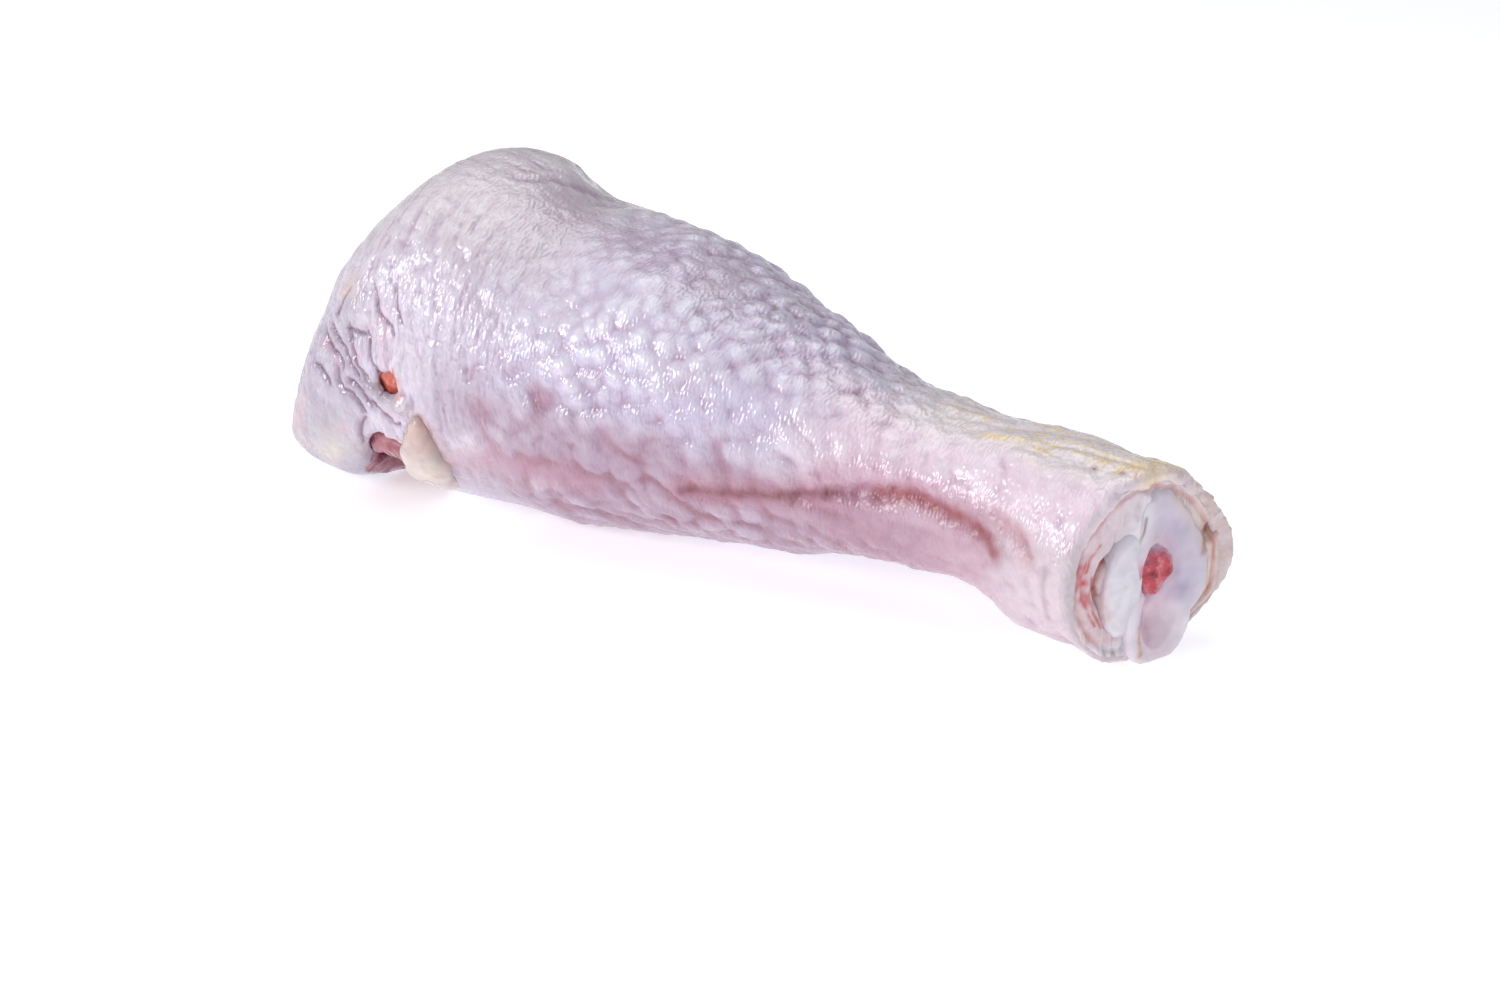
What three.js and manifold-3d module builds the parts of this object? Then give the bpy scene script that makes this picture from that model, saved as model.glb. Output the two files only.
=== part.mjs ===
// A raw chicken drumstick, lying on its side with the thick thigh end at -X and the cut hock joint at +X.
// Units are millimetres, +Z is up and the side with the open skin faces -Y.
import * as THREE from "three";
import { mergeVertices } from "three/addons/utils/BufferGeometryUtils.js";
import Module from "manifold-3d";

const { degToRad, lerp, smoothstep } = THREE.MathUtils;
const wasm = await Module();
wasm.setup();

// ---- driving dimensions -------------------------------------------------------------------------

// The outside of the limb, one row for each place along it. Between the rows it runs smoothly.
const LIMB_ROWS = [
  // x, top z, bottom z, front y, back y, squareness of the section (2 is an ellipse)
  [-80, 9.0, 2.0, -22.8, -12.0, 2.2],
  [-72, 16.4, -0.8, -24.9, -2.5, 2.2],
  [-61, 38.1, -0.6, -26.3, 11.5, 2.2],
  [-49.5, 48.5, -1.0, -26.6, 19.5, 2.2],
  [-38, 47.5, -1.4, -25.6, 21.4, 2.15],
  [-26.5, 42.7, -1.1, -23.8, 20.9, 2.1],
  [-9.5, 40.6, 0.4, -19.5, 18.0, 2.1],
  [7.6, 33.2, 2.4, -15.2, 15.2, 2.1],
  [24.7, 26.6, 5.0, -11.6, 11.8, 2.1],
  [39, 26.7, 4.2, -11.0, 11.2, 2.1],
  [45.5, 26.8, 0.7, -12.4, 11.9, 2.05],
  [51.3, 26.8, -0.4, -13.2, 12.4, 2.0],
  [64.6, 25.6, -1.5, -13.2, 12.2, 1.9],
];
const KNEE_START_X = -62.7; // where the thigh end begins to round over
const KNEE_LENGTH = 13.9;
const KNEE_SQUARENESS = 1.85;
const LIMB_END_X = 68; // the limb is drawn past the hock and then cut off
const FLAT_START_X = 42; // the far side of the hock is flattened above and below from here on
const FLAT_FULL_X = 57;
const FLAT_ABOVE = 0.13;
const FLAT_BELOW = 0.2;

const SKIN = 1.7; // thickness of the skin over the muscle
const SKIN_AT_HOCK = 2.9; // the tougher ring of skin round the joint, on its far side
const HOCK_RING_X = 46; // where the skin begins to thicken
const FOLDED_TO_X = -44; // the rings of the model are close together up to here
const GAP = 0.3; // clearance between the meat and the skin round it
const ROOM = 0.45; // clearance round a curved piece that is let into its neighbour

const HOCK = new THREE.Vector3(57.5, 0.4, 13.5); // middle of the cut through the joint
const CUT_TURN = degToRad(-24); // the cut faces +X and a little towards the front
const MEAT_END = -1.9; // the meat ends this far inside the cut

// Large uneven forms of the skin. The folds and the crease are only on the front, at -Y.
const FRONT_FROM_Y = -4;
const FRONT_FULL_Y = -14;
const ROLL = {
  from: -50, fadeIn: 9, to: -32.5, fadeOut: 2, slant: 0.6,
  middle: degToRad(20), spread: degToRad(24), height: 1.5,
};
const FOLDS = { x: -62, z: 24, reachX: 9, reachZ: 11, lean: degToRad(49), pitch: 5.2, height: 0.55 };
const CREASE = { points: [[20, 18.5], [33, 14.5], [42, 9]], width: 2.4, depth: 1.2 };
const SWELL = 0.25; // slow unevenness all over

// Openings in the skin at the thigh end.
const MOUTH = { at: [-52.4, -21.0, 4.0], size: [5.0, 15.5, 10.2], turn: degToRad(18) };
const MOUTH_FILL = 1.0; // the meat that bulges into the mouth ends this far inside the skin's outer face
const TEAR = { at: [-47.2, -26.4, 21.8], size: [2.1, 4.0, 2.5], turn: degToRad(35) };

// ---- helpers ------------------------------------------------------------------------------------

// A closed three.js mesh as a solid that can be joined and cut.
function solid(geometry) {
  const bare = geometry.clone();
  bare.deleteAttribute("normal");
  bare.deleteAttribute("uv");
  const merged = mergeVertices(bare, 1e-4);
  return new wasm.Manifold(new wasm.Mesh({
    numProp: 3,
    vertProperties: new Float32Array(merged.attributes.position.array),
    triVerts: new Uint32Array(merged.index.array),
  }));
}

// The cut solid as a mesh again, without the crumbs that a cut can leave.
function piece(name, body, material) {
  const [whole] = body.decompose().sort((a, b) => b.volume() - a.volume());
  const { vertProperties, triVerts } = whole.getMesh();
  const geometry = new THREE.BufferGeometry();
  geometry.setAttribute("position", new THREE.BufferAttribute(vertProperties, 3));
  geometry.setIndex(new THREE.BufferAttribute(triVerts, 1));
  geometry.computeVertexNormals();
  const mesh = new THREE.Mesh(geometry, material);
  mesh.name = name;
  return mesh;
}

function moveVertices(geometry, move) {
  const place = geometry.attributes.position;
  const point = new THREE.Vector3();
  for (let i = 0; i < place.count; i++) {
    const moved = move(point.fromBufferAttribute(place, i));
    place.setXYZ(i, moved.x, moved.y, moved.z);
  }
  return geometry;
}

const signedPower = (value, squareness) => Math.sign(value) * Math.abs(value) ** (2 / squareness);
const hump = (value, reach) => Math.exp(-((value / reach) ** 2));

// ---- the limb -----------------------------------------------------------------------------------

const rowPlaces = LIMB_ROWS.map((row) => row[0]);
const rowSizes = LIMB_ROWS.flatMap((row) => row.slice(1));
const limbSizes = new THREE.CubicInterpolant(rowPlaces, rowSizes, 5, new Float32Array(5));

// Turn runs from 0 at the top, over the back, to half a turn at the bottom.
function farSideTrim(x, turn) {
  if (Math.sin(turn) <= 0) return 1;
  const flatness = Math.cos(turn) > 0 ? FLAT_ABOVE : FLAT_BELOW;
  return 1 - flatness * Math.sin(2 * turn) ** 2 * smoothstep(x, FLAT_START_X, FLAT_FULL_X);
}

function creaseDistance(x, z) {
  let nearest = Infinity;
  for (let i = 1; i < CREASE.points.length; i++) {
    const [x0, z0] = CREASE.points[i - 1];
    const [x1, z1] = CREASE.points[i];
    const length = Math.hypot(x1 - x0, z1 - z0);
    const along = THREE.MathUtils.clamp(((x - x0) * (x1 - x0) + (z - z0) * (z1 - z0)) / length ** 2, 0, 1);
    nearest = Math.min(nearest, Math.hypot(x - lerp(x0, x1, along), z - lerp(z0, z1, along)));
  }
  return nearest;
}

// How far the skin stands out from the plain limb at a place on it.
function relief(x, y, z, turn) {
  const rollEnd = ROLL.to - ROLL.slant * y;
  const roll = smoothstep(x, ROLL.from, ROLL.from + ROLL.fadeIn)
    * (1 - smoothstep(x, rollEnd - ROLL.fadeOut, rollEnd))
    * hump(turn - ROLL.middle, ROLL.spread) * ROLL.height;
  const front = smoothstep(-y, -FRONT_FROM_Y, -FRONT_FULL_Y);
  const acrossFolds = Math.cos(FOLDS.lean) * x + Math.sin(FOLDS.lean) * z;
  const foldPhase = acrossFolds / FOLDS.pitch * 2 * Math.PI;
  const folds = Math.cos(foldPhase) * FOLDS.height * front
    * hump(x - FOLDS.x, FOLDS.reachX) * hump(z - FOLDS.z, FOLDS.reachZ);
  const crease = -CREASE.depth * front * hump(creaseDistance(x, z), CREASE.width);
  const swell = SWELL * (Math.sin(x * 0.19 + 1.3 * Math.sin(turn)) * Math.cos(2 * turn + x * 0.05)
    + 0.5 * Math.sin(x * 0.37 - 2 * turn));
  return roll + folds + crease + swell;
}

// The skin is thicker round the hock, but not on the side that was slit open.
function skinThickness(x, turn) {
  const farSide = 0.5 + 0.5 * Math.sin(turn);
  return lerp(SKIN, SKIN_AT_HOCK, smoothstep(x, HOCK_RING_X, HOCK.x) * farSide);
}

// A point of the limb: layer 0 is the outside, 1 the inside of the skin, and extra goes deeper.
function limbPoint(x, spread, turn, layer, extra) {
  const [top, bottom, front, back, squareness] = limbSizes.evaluate(x);
  const depth = layer * skinThickness(x, turn) + extra;
  const reach = spread * farSideTrim(x, turn);
  const side = signedPower(Math.sin(turn), squareness);
  const rise = signedPower(Math.cos(turn), squareness);
  const y = (front + back) / 2 + reach * ((back - front) / 2 - depth) * side;
  const z = (top + bottom) / 2 + reach * ((top - bottom) / 2 - depth) * rise;
  const out = relief(x, y, z, turn);
  const lengthwise = -Math.sqrt(Math.max(0, 1 - spread ** 2)) * out;
  return new THREE.Vector3(
    x + lengthwise,
    y + out * spread * Math.sin(turn),
    Math.max(z + out * spread * Math.cos(turn), depth),
  );
}

// The whole limb as one closed solid, with rings set closer together where the skin folds.
function limb({ sides, kneeRings, foldRings, shankRings, layer = 0, extra = 0 }) {
  const depth = layer * SKIN + extra;
  const profile = [new THREE.Vector2(0, KNEE_START_X - KNEE_LENGTH + depth)];
  for (let i = 1; i <= kneeRings; i++) {
    const angle = (i / kneeRings) * Math.PI / 2;
    const reach = signedPower(Math.cos(angle), KNEE_SQUARENESS) * (KNEE_LENGTH - depth);
    profile.push(new THREE.Vector2(signedPower(Math.sin(angle), KNEE_SQUARENESS), KNEE_START_X - reach));
  }
  for (let i = 1; i <= foldRings; i++) {
    profile.push(new THREE.Vector2(1, lerp(KNEE_START_X, FOLDED_TO_X, i / foldRings)));
  }
  for (let i = 1; i <= shankRings; i++) {
    profile.push(new THREE.Vector2(1, lerp(FOLDED_TO_X, LIMB_END_X, i / shankRings)));
  }
  profile.push(new THREE.Vector2(0, LIMB_END_X));
  return moveVertices(new THREE.LatheGeometry(profile, sides), (p) =>
    limbPoint(p.y, Math.hypot(p.x, p.z), Math.atan2(-p.x, p.z), layer, extra));
}

// ---- places on the cut through the hock ---------------------------------------------------------

// Stands a shape that was drawn in the XY plane (x to the far side, y up, z outwards) on the cut.
function ontoCut(geometry) {
  geometry.rotateX(Math.PI / 2);
  geometry.rotateZ(Math.PI / 2);
  geometry.rotateZ(CUT_TURN);
  return geometry.translate(HOCK.x, HOCK.y, HOCK.z);
}

function beyondCut(inward) {
  return solid(ontoCut(new THREE.BoxGeometry(90, 90, 60).translate(0, 0, 30 + inward)));
}

// A closed blob between a back and a face, drawn on the cut: rings of [share of the outline, height]
// run from the middle of the back to the middle of the face, and shape(p, q, height) sets the relief.
function cutBlob(outline, middle, rings, sides, grow, shape) {
  const edge = new THREE.CatmullRomCurve3(outline.map(([p, q]) => new THREE.Vector3(p, q, 0)), true);
  const centre = new THREE.Vector3(middle[0], middle[1], 0);
  const profile = rings.map(([share, height]) => new THREE.Vector2(share, height));
  const blob = new THREE.LatheGeometry(profile, sides);
  return ontoCut(moveVertices(blob, (v) => {
    const share = Math.hypot(v.x, v.z);
    const turn = THREE.MathUtils.euclideanModulo(Math.atan2(v.x, v.z) / (2 * Math.PI), 1);
    const rim = edge.getPoint(turn).sub(centre);
    const at = rim.clone().multiplyScalar(share).add(centre);
    const height = shape(at.x, at.y, v.y);
    at.addScaledVector(rim.normalize(), grow * share);
    return at.setZ(height);
  }));
}

// ---- cartilage: the smooth cap of the joint, with its rim and the hollow below the marrow -------

const CAP_OUTLINE = [
  [-0.9, -13.4], [2.3, -12.2], [3.6, -9.2], [5.2, -7.0], [8.1, -4.8], [8.4, -1.5], [7.1, 1.4],
  [4.5, 5.2], [0.2, 9.9], [-3.2, 8.9], [-4.4, 3.4], [-4.5, -3.6], [-4.3, -9.6],
];
const CAP_MIDDLE = [1.2, -2.0];
const CAP_DEPTH = 8;
const SOCKET = { at: [0.1, -8.7], size: [2.7, 3.9], depth: 2.2 };
const RIM = { at: -3.7, width: 1.2, height: 0.8 };
const LOBE = { from: 3, full: 11, height: 2.0, depth: 3.2 }; // the lower end, which stands out of the skin

function capSurface(p, q, height, grow) {
  const deepest = lerp(-CAP_DEPTH, -LOBE.depth, smoothstep(-q, LOBE.full - 2.5, LOBE.full + 0.5));
  const hollow = Math.hypot((p - SOCKET.at[0]) / SOCKET.size[0], (q - SOCKET.at[1]) / SOCKET.size[1]);
  const face = RIM.height * hump(p - RIM.at, RIM.width) + LOBE.height * smoothstep(-q, LOBE.from, LOBE.full)
    - SOCKET.depth * hump(hollow ** 2, 1);
  const nearFace = smoothstep(height, -2, 0);
  return Math.max(height, deepest) + face * nearFace + (height < -CAP_DEPTH / 2 ? -grow : grow);
}

function capSolid(grow) {
  const rings = [[0, -CAP_DEPTH], [0.5, -CAP_DEPTH], [0.94, -CAP_DEPTH], [1, 1 - CAP_DEPTH], [1, -1],
    [0.94, -0.2], [0.82, 0.1], [0.66, 0], [0.5, 0], [0.34, 0], [0.17, 0], [0, 0]];
  return solid(cutBlob(CAP_OUTLINE, CAP_MIDDLE, rings, 26, grow, (p, q, h) => capSurface(p, q, h, grow)));
}

// ---- tendon: the white pad beside the joint -----------------------------------------------------

const PAD_OUTLINE = [
  [-5.4, -10.0], [-3.6, -6.0], [-3.2, 1.0], [-4.0, 7.2], [-6.4, 4.4], [-8.5, 0.6], [-9.0, -3.4], [-7.8, -7.6],
];
const PAD_MIDDLE = [-6.2, -1.8];
const PAD_DEPTH = 6;
const PAD_CROWN = 0.9;

function padSolid(grow) {
  const rings = [[0, -PAD_DEPTH], [0.9, -PAD_DEPTH], [1, 1 - PAD_DEPTH], [1, -1.6], [0.88, -0.6],
    [0.6, -0.1], [0.3, 0], [0, 0]];
  return solid(cutBlob(PAD_OUTLINE, PAD_MIDDLE, rings, 22, grow, (p, q, height) =>
    height + PAD_CROWN * hump(q + 3, 6) * smoothstep(height, -2, 0) + (height < -2 ? -grow : grow)));
}

// ---- bone: a plain shaft whose red end shows in the cartilage -----------------------------------

const BONE_ENDS = [new THREE.Vector3(-46, -3, 21), new THREE.Vector3(57.1, -0.3, 12.6)];
const BONE_PROFILE = [
  // radius, distance from the hock end
  [0, 0], [1.8, 0], [2.3, 0.5], [2.3, 8.6], [4.2, 10], [4.1, 16], [3.2, 30], [3.2, 62], [4.4, 86],
  [5.6, 98], [5.2, 102], [0, 103.2],
];
const BONE_TALLNESS = 1.4;

function boneSolid(grow) {
  const [knee, hock] = BONE_ENDS;
  const length = knee.distanceTo(hock);
  const profile = BONE_PROFILE.map(([radius, fromHock]) => {
    const end = fromHock < length / 2 ? grow : -grow;
    return new THREE.Vector2(radius && radius + grow, length - fromHock + end);
  }).reverse();
  return solid(moveVertices(new THREE.LatheGeometry(profile, 14), (v) => {
    const middle = knee.clone().lerp(hock, v.y / length);
    return middle.add(new THREE.Vector3(0, -v.x, v.z * BONE_TALLNESS));
  }));
}

// ---- fat: the cream lobe that hangs out beside the open skin ------------------------------------

const FAT_PATH = [
  // x and turn round the limb, bottom first
  [-45.9, -142], [-44.9, -130], [-44.0, -117], [-43.3, -102],
].map(([x, turn]) => limbPoint(x, 1, degToRad(turn), 0, 0));
const FAT_THICKNESS = 3.3;

function fatSolid(grow) {
  const path = new THREE.CatmullRomCurve3(FAT_PATH);
  const rings = 12;
  const profile = [];
  for (let i = 0; i <= rings; i++) {
    const round = Math.sin((i / rings) * Math.PI) ** 0.6 * lerp(1.12, 0.62, i / rings);
    profile.push(new THREE.Vector2(i % rings ? round * FAT_THICKNESS + grow : 0, i / rings));
  }
  return solid(moveVertices(new THREE.LatheGeometry(profile, 16), (v) => {
    const middle = path.getPoint(v.y);
    const height = Math.max(middle.z + v.z * 0.3, 0.6 - grow);
    return new THREE.Vector3(middle.x + v.x, middle.y - v.z * 0.9, height);
  }));
}

// ---- openings in the skin -----------------------------------------------------------------------

// Half sizes, turned about the Y axis. Smaller gives the room that the meat in it takes up.
function opening({ at, size, turn }, smaller = 0) {
  const shape = new THREE.SphereGeometry(1, 14, 8);
  shape.scale(...size.map((half) => half - smaller));
  shape.rotateY(turn);
  return solid(shape.translate(...at));
}

// ---- the pieces ---------------------------------------------------------------------------------

const inside = { sides: 22, kneeRings: 6, foldRings: 4, shankRings: 16 };
const cap = capSolid(0);
const capRoom = capSolid(ROOM);
const bone = boneSolid(0);
const boneRoom = boneSolid(ROOM);
const padRoom = padSolid(ROOM);
const fatRoom = fatSolid(ROOM);

const skin = solid(limb({ sides: 42, kneeRings: 11, foldRings: 9, shankRings: 28 }))
  .subtract(beyondCut(0))
  .subtract(solid(limb({ ...inside, layer: 1 })))
  .subtract(opening(MOUTH))
  .subtract(opening(TEAR))
  .subtract(fatRoom)
  .subtract(capRoom)
  .subtract(padRoom);
const meatInMouth = solid(limb({ ...inside, extra: MOUTH_FILL })).intersect(opening(MOUTH, ROOM));
const meat = solid(limb({ ...inside, layer: 1, extra: GAP }))
  .add(meatInMouth)
  .subtract(beyondCut(MEAT_END))
  .subtract(fatRoom)
  .subtract(capRoom)
  .subtract(padRoom)
  .subtract(boneRoom);

const finish = (color, roughness) => new THREE.MeshStandardMaterial({ color, roughness, metalness: 0 });
const drumstick = new THREE.Group();
drumstick.add(
  piece("skin", skin, finish(0xd9cbdc, 0.35)),
  piece("meat", meat, finish(0x9e7078, 0.4)),
  piece("fat", fatSolid(0), finish(0xe2d3c4, 0.4)),
  piece("bone", bone, finish(0xb35c6b, 0.6)),
  piece("cartilage", cap.subtract(boneRoom), finish(0xc4bfd6, 0.25)),
  piece("tendon", padSolid(0).subtract(capRoom).subtract(boneRoom), finish(0xe3e3ef, 0.3)),
);

// The origin is the middle of the footprint, on the surface that the drumstick lies on.
const bounds = new THREE.Box3().setFromObject(drumstick);
const centre = bounds.getCenter(new THREE.Vector3());
drumstick.position.set(-centre.x, -centre.y, -bounds.min.z);

export default drumstick;
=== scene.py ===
# %% [markdown]
# # A raw chicken drumstick
# The leg is a sleeve of wet skin round dark meat, with a bone through its middle. The thick end closes in a
# soft lobe of folded skin, and the thin end is cut through the hock, where the white joint shows. The measured
# model of the leg is loaded first and stays fixed. Each of its six solids is then copied, remeshed finely,
# and sculpted in code, so that the folds, pimples and wet creases are real shape and not only shading.

# %% Load the measured leg
import bpy
import math
import numpy as np
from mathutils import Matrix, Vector
from mathutils.bvhtree import BVHTree


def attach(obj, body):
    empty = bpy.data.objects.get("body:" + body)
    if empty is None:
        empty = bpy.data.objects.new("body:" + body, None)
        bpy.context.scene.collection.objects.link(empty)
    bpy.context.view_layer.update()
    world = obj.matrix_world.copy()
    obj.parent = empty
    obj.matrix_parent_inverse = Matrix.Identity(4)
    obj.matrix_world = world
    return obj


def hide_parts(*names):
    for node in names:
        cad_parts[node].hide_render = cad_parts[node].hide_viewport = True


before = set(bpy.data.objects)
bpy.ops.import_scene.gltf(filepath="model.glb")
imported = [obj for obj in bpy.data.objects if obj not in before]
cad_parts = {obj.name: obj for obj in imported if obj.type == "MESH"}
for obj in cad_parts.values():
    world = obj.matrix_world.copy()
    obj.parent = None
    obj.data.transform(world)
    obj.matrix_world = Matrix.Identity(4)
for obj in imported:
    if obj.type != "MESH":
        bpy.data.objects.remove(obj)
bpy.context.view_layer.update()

MM = 0.001

# %% [markdown]
# ## Camera
# The camera looks down on the leg at 25 degrees from beyond its cut end, so that both the smooth thigh side
# and the joint are seen. A 50 mm lens at about twice the leg's length keeps the perspective of a close view.

# %% Camera
AZIMUTH, ELEVATION = math.radians(35), math.radians(25)
CAMERA_DISTANCE = 285.3 * MM
LOOK_AT = Vector((6.53, -2.42, 8.65)) * MM
LENS_MM = 50
NEAREST_SEEN = 10 * MM


def add_object(name, data):
    made = bpy.data.objects.new(name, data)
    bpy.context.scene.collection.objects.link(made)
    return made


def stand_off(thing, towards, distance):
    """Puts a camera or lamp that far from the leg along a unit vector, and aims it at the leg."""
    thing.location = LOOK_AT + towards * distance
    thing.rotation_mode = "QUATERNION"
    thing.rotation_quaternion = (-towards).to_track_quat("-Z", "Y")


towards_camera = Vector((
    math.sin(AZIMUTH) * math.cos(ELEVATION),
    -math.cos(AZIMUTH) * math.cos(ELEVATION),
    math.sin(ELEVATION),
))
camera = add_object("camera", bpy.data.cameras.new("camera"))
camera.data.lens = LENS_MM
camera.data.clip_start = NEAREST_SEEN
stand_off(camera, towards_camera, CAMERA_DISTANCE)
bpy.context.scene.camera = camera
print("camera at", [round(c / MM) for c in camera.location], "mm")

# %% [markdown]
# ## Light
# Raw meat is lit softly, so that the wet skin shows many small glints and no hard shadow. A white world fills
# every side. A window stands to the left of the camera, where the wet thigh mirrors it in many short dashes,
# and a small one beside it does the same for the hock. A broad lamp above lays a soft sheen on the crown. A
# weak one by the camera lights the cut joint, and the wet film doesn't mirror it.

# %% Light
LAMPS = [
    # name, direction from the leg, distance, width and height in metres, power in watts, seen in the wet film
    ("window", (-0.4, -0.82, 0.42), 0.55, 0.2, 0.2, 1.15, True),
    ("camera side", (0.6, -0.6, 0.55), 0.6, 0.12, 0.12, 0.36, False),
    ("above", (-0.1, 0.1, 1.0), 0.7, 0.5, 0.5, 1.5, True),
    ("hock window", (-0.48, -0.69, 0.54), 0.5, 0.04, 0.1, 0.06, True),
]
ROOM_COLOUR, ROOM_STRENGTH = (0.96, 0.97, 1.0, 1), 0.38

for name, direction, distance, width, height, power, mirrored in LAMPS:
    data = bpy.data.lights.new(name, "AREA")
    data.shape = "RECTANGLE"
    data.size, data.size_y = width, height
    data.energy = power
    lamp = add_object(name, data)
    stand_off(lamp, Vector(direction).normalized(), distance)
    lamp.visible_glossy = mirrored
world = bpy.data.worlds.new("white room")
world.use_nodes = True
background = world.node_tree.nodes["Background"].inputs
background["Color"].default_value = ROOM_COLOUR
background["Strength"].default_value = ROOM_STRENGTH
bpy.context.scene.world = world
bpy.context.scene.view_settings.view_transform = "Standard"

# %% [markdown]
# ## Shader maths
# A finish is a tree of shader nodes. Writing each node by hand is long, so one small class wraps a socket, and
# Python's own operators add the Math nodes. Colours are mixed with Mix nodes, because a Math node turns a
# colour grey.

# %% Sums of sockets
class Wire:
    """A shader socket that can be used in sums like a number."""

    def __init__(self, finish, socket):
        self.finish, self.socket = finish, socket

    def maths(self, operation, first, second=0.0, clamp=False):
        settings = {"operation": operation, "use_clamp": clamp}
        return self.finish.node("ShaderNodeMath", settings, {0: first, 1: second})

    def __add__(self, other):
        return self.maths("ADD", self, other)

    def __rsub__(self, other):
        return self.maths("SUBTRACT", other, self)

    def __mul__(self, other):
        return self.maths("MULTIPLY", self, other)

    __radd__, __rmul__ = __add__, __mul__

    def clamped(self):
        return self.maths("ADD", self, 0.0, clamp=True)

# %% [markdown]
# A second class builds one finish. One of its methods adds any node, with its settings first and then what
# feeds its sockets. The others name what the finishes here need: a mix, a soft band, noise, paint and relief.

# %% Finish
class Finish:
    """A material with one Principled shader."""

    def __init__(self, name, **fixed):
        self.material = bpy.data.materials.new(name)
        self.material.use_nodes = True
        self.tree = self.material.node_tree
        self.feed(**fixed)
        self.place = self.node("ShaderNodeTexCoord", output="Object")

    def put(self, socket, value):
        if isinstance(value, Wire):
            self.tree.links.new(value.socket, socket)
        else:
            socket.default_value = value

    def feed(self, **inputs):
        """Sets or links inputs of the Principled shader, with _ for the space in a name."""
        shader = self.tree.nodes["Principled BSDF"]
        for name, value in inputs.items():
            self.put(shader.inputs[name.replace("_", " ")], value)

    def node(self, kind, settings=None, sockets=None, output=0):
        """Adds a node, makes its settings, then sets or links its sockets."""
        made = self.tree.nodes.new(kind)
        for name, value in (settings or {}).items():
            if name == "stops":
                for stop, (position, grey) in zip(made.color_ramp.elements, value):
                    stop.position, stop.color = position, (grey, grey, grey, 1)
            else:
                setattr(made, name, value)
        for name, value in (sockets or {}).items():
            self.put(made.inputs[name], value)
        return Wire(self, made.outputs[output])

    def mix(self, amount, first, second):
        """Blends two colours."""
        return self.node("ShaderNodeMix", {"data_type": "RGBA"}, {0: amount, 6: first, 7: second}, 2)

    def band(self, value, low, high):
        """0 below low, 1 above high."""
        stops = [(low, 0.0), (high, 1.0)]
        return self.node("ShaderNodeValToRGB", {"stops": stops}, {0: value})

    def cloudiness(self, size, detail=2.0, stretch=(1, 1, 1)):
        """Noise whose swells are about size mm wide, times stretch on each axis."""
        scale = [1 / (size * MM * s) for s in stretch]
        place = self.node("ShaderNodeMapping", None, {"Vector": self.place, "Scale": scale})
        return self.node("ShaderNodeTexNoise", None, {"Vector": place, "Scale": 1.0, "Detail": detail})

    def layer(self, name, output="Fac"):
        """What was painted or measured on the mesh under that name."""
        return self.node("ShaderNodeAttribute", {"attribute_name": name}, None, output)

    def bump(self, height, strength, depth):
        """A relief for the Normal input. Depth is in mm."""
        sockets = {"Strength": strength, "Distance": depth * MM, "Height": height}
        return self.node("ShaderNodeBump", None, sockets)

    def wear(self, piece):
        piece.data.materials.clear()
        piece.data.materials.append(self.material)

# %% Colours
def shade(red, green, blue):
    """An everyday 0 to 255 colour, as the linear light that Blender works in."""
    def linear(part):
        part = part / 255
        return part / 12.92 if part <= 0.04045 else ((part + 0.055) / 1.055) ** 2.4
    return linear(red), linear(green), linear(blue), 1.0


print("middle grey is", round(shade(128, 128, 128)[0], 2), "as light")

# %% [markdown]
# ## Floor
# A plain pale tabletop. It glows very slightly, as a lit table does, so the shadow under the leg stays light.

# %% Floor
TABLE_WIDTH = 6
table_top = Finish(
    "pale table",
    Base_Color=shade(244, 244, 246),
    Roughness=0.6,
    Emission_Color=(1, 1, 1, 1),
    Emission_Strength=0.46,
)
bpy.ops.object.select_all(action="DESELECT")
bpy.ops.mesh.primitive_plane_add(size=TABLE_WIDTH)
floor = bpy.context.object
floor.name = "table"
table_top.wear(floor)
print("floor is", floor.dimensions.x, "m wide")

# %% [markdown]
# ## Fine meshes
# The measured solids have facets of a few millimetres. A voxel remesh gives each copy an even skin of small
# quads, which sculpting needs, and it also rounds the hard edges of cuts, as wet flesh is rounded.

# %% Fine copies
SAME_POINT = 0.001
SMOOTHING = 0.5


def pick_only(piece):
    bpy.ops.object.select_all(action="DESELECT")
    piece.select_set(True)
    bpy.context.view_layer.objects.active = piece


def apply_modifier(piece, kind, **settings):
    pick_only(piece)
    modifier = piece.modifiers.new(kind.lower(), kind)
    for name, value in settings.items():
        setattr(modifier, name, value)
    bpy.ops.object.modifier_apply(modifier=modifier.name)


def fine_copy(node, name, cell, rounds):
    """Copies a measured solid, joins its triangles, remeshes it in cells of that many mm and smooths it."""
    piece = add_object(name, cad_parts[node].data.copy())
    pick_only(piece)
    bpy.ops.object.mode_set(mode="EDIT")
    bpy.ops.mesh.select_all(action="SELECT")
    bpy.ops.mesh.remove_doubles(threshold=SAME_POINT * MM)
    bpy.ops.object.mode_set(mode="OBJECT")
    apply_modifier(piece, "REMESH", mode="VOXEL", voxel_size=cell * MM, adaptivity=0)
    apply_modifier(piece, "SMOOTH", factor=SMOOTHING, iterations=rounds)
    pick_only(piece)
    bpy.ops.object.shade_smooth()
    return piece


wet_skin = fine_copy("skin", "wet_skin", cell=0.55, rounds=14)
print("skin has", len(wet_skin.data.polygons), "quads")

# %% [markdown]
# Sculpting in code is reading all the points of a mesh as one table, changing it and writing it back.

# %% Points of a mesh
def read_rows(items, field, width, kind=np.float32):
    """One field of every point, edge or face of a mesh, one row each."""
    flat = np.empty(len(items) * width, kind)
    items.foreach_get(field, flat)
    return flat.reshape(-1, width)


def read_points(piece):
    """The mesh's points in mm."""
    return read_rows(piece.data.vertices, "co", 3).astype(float) / MM


def read_normals(piece):
    return read_rows(piece.data.vertex_normals, "vector", 3).astype(float)


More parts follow.
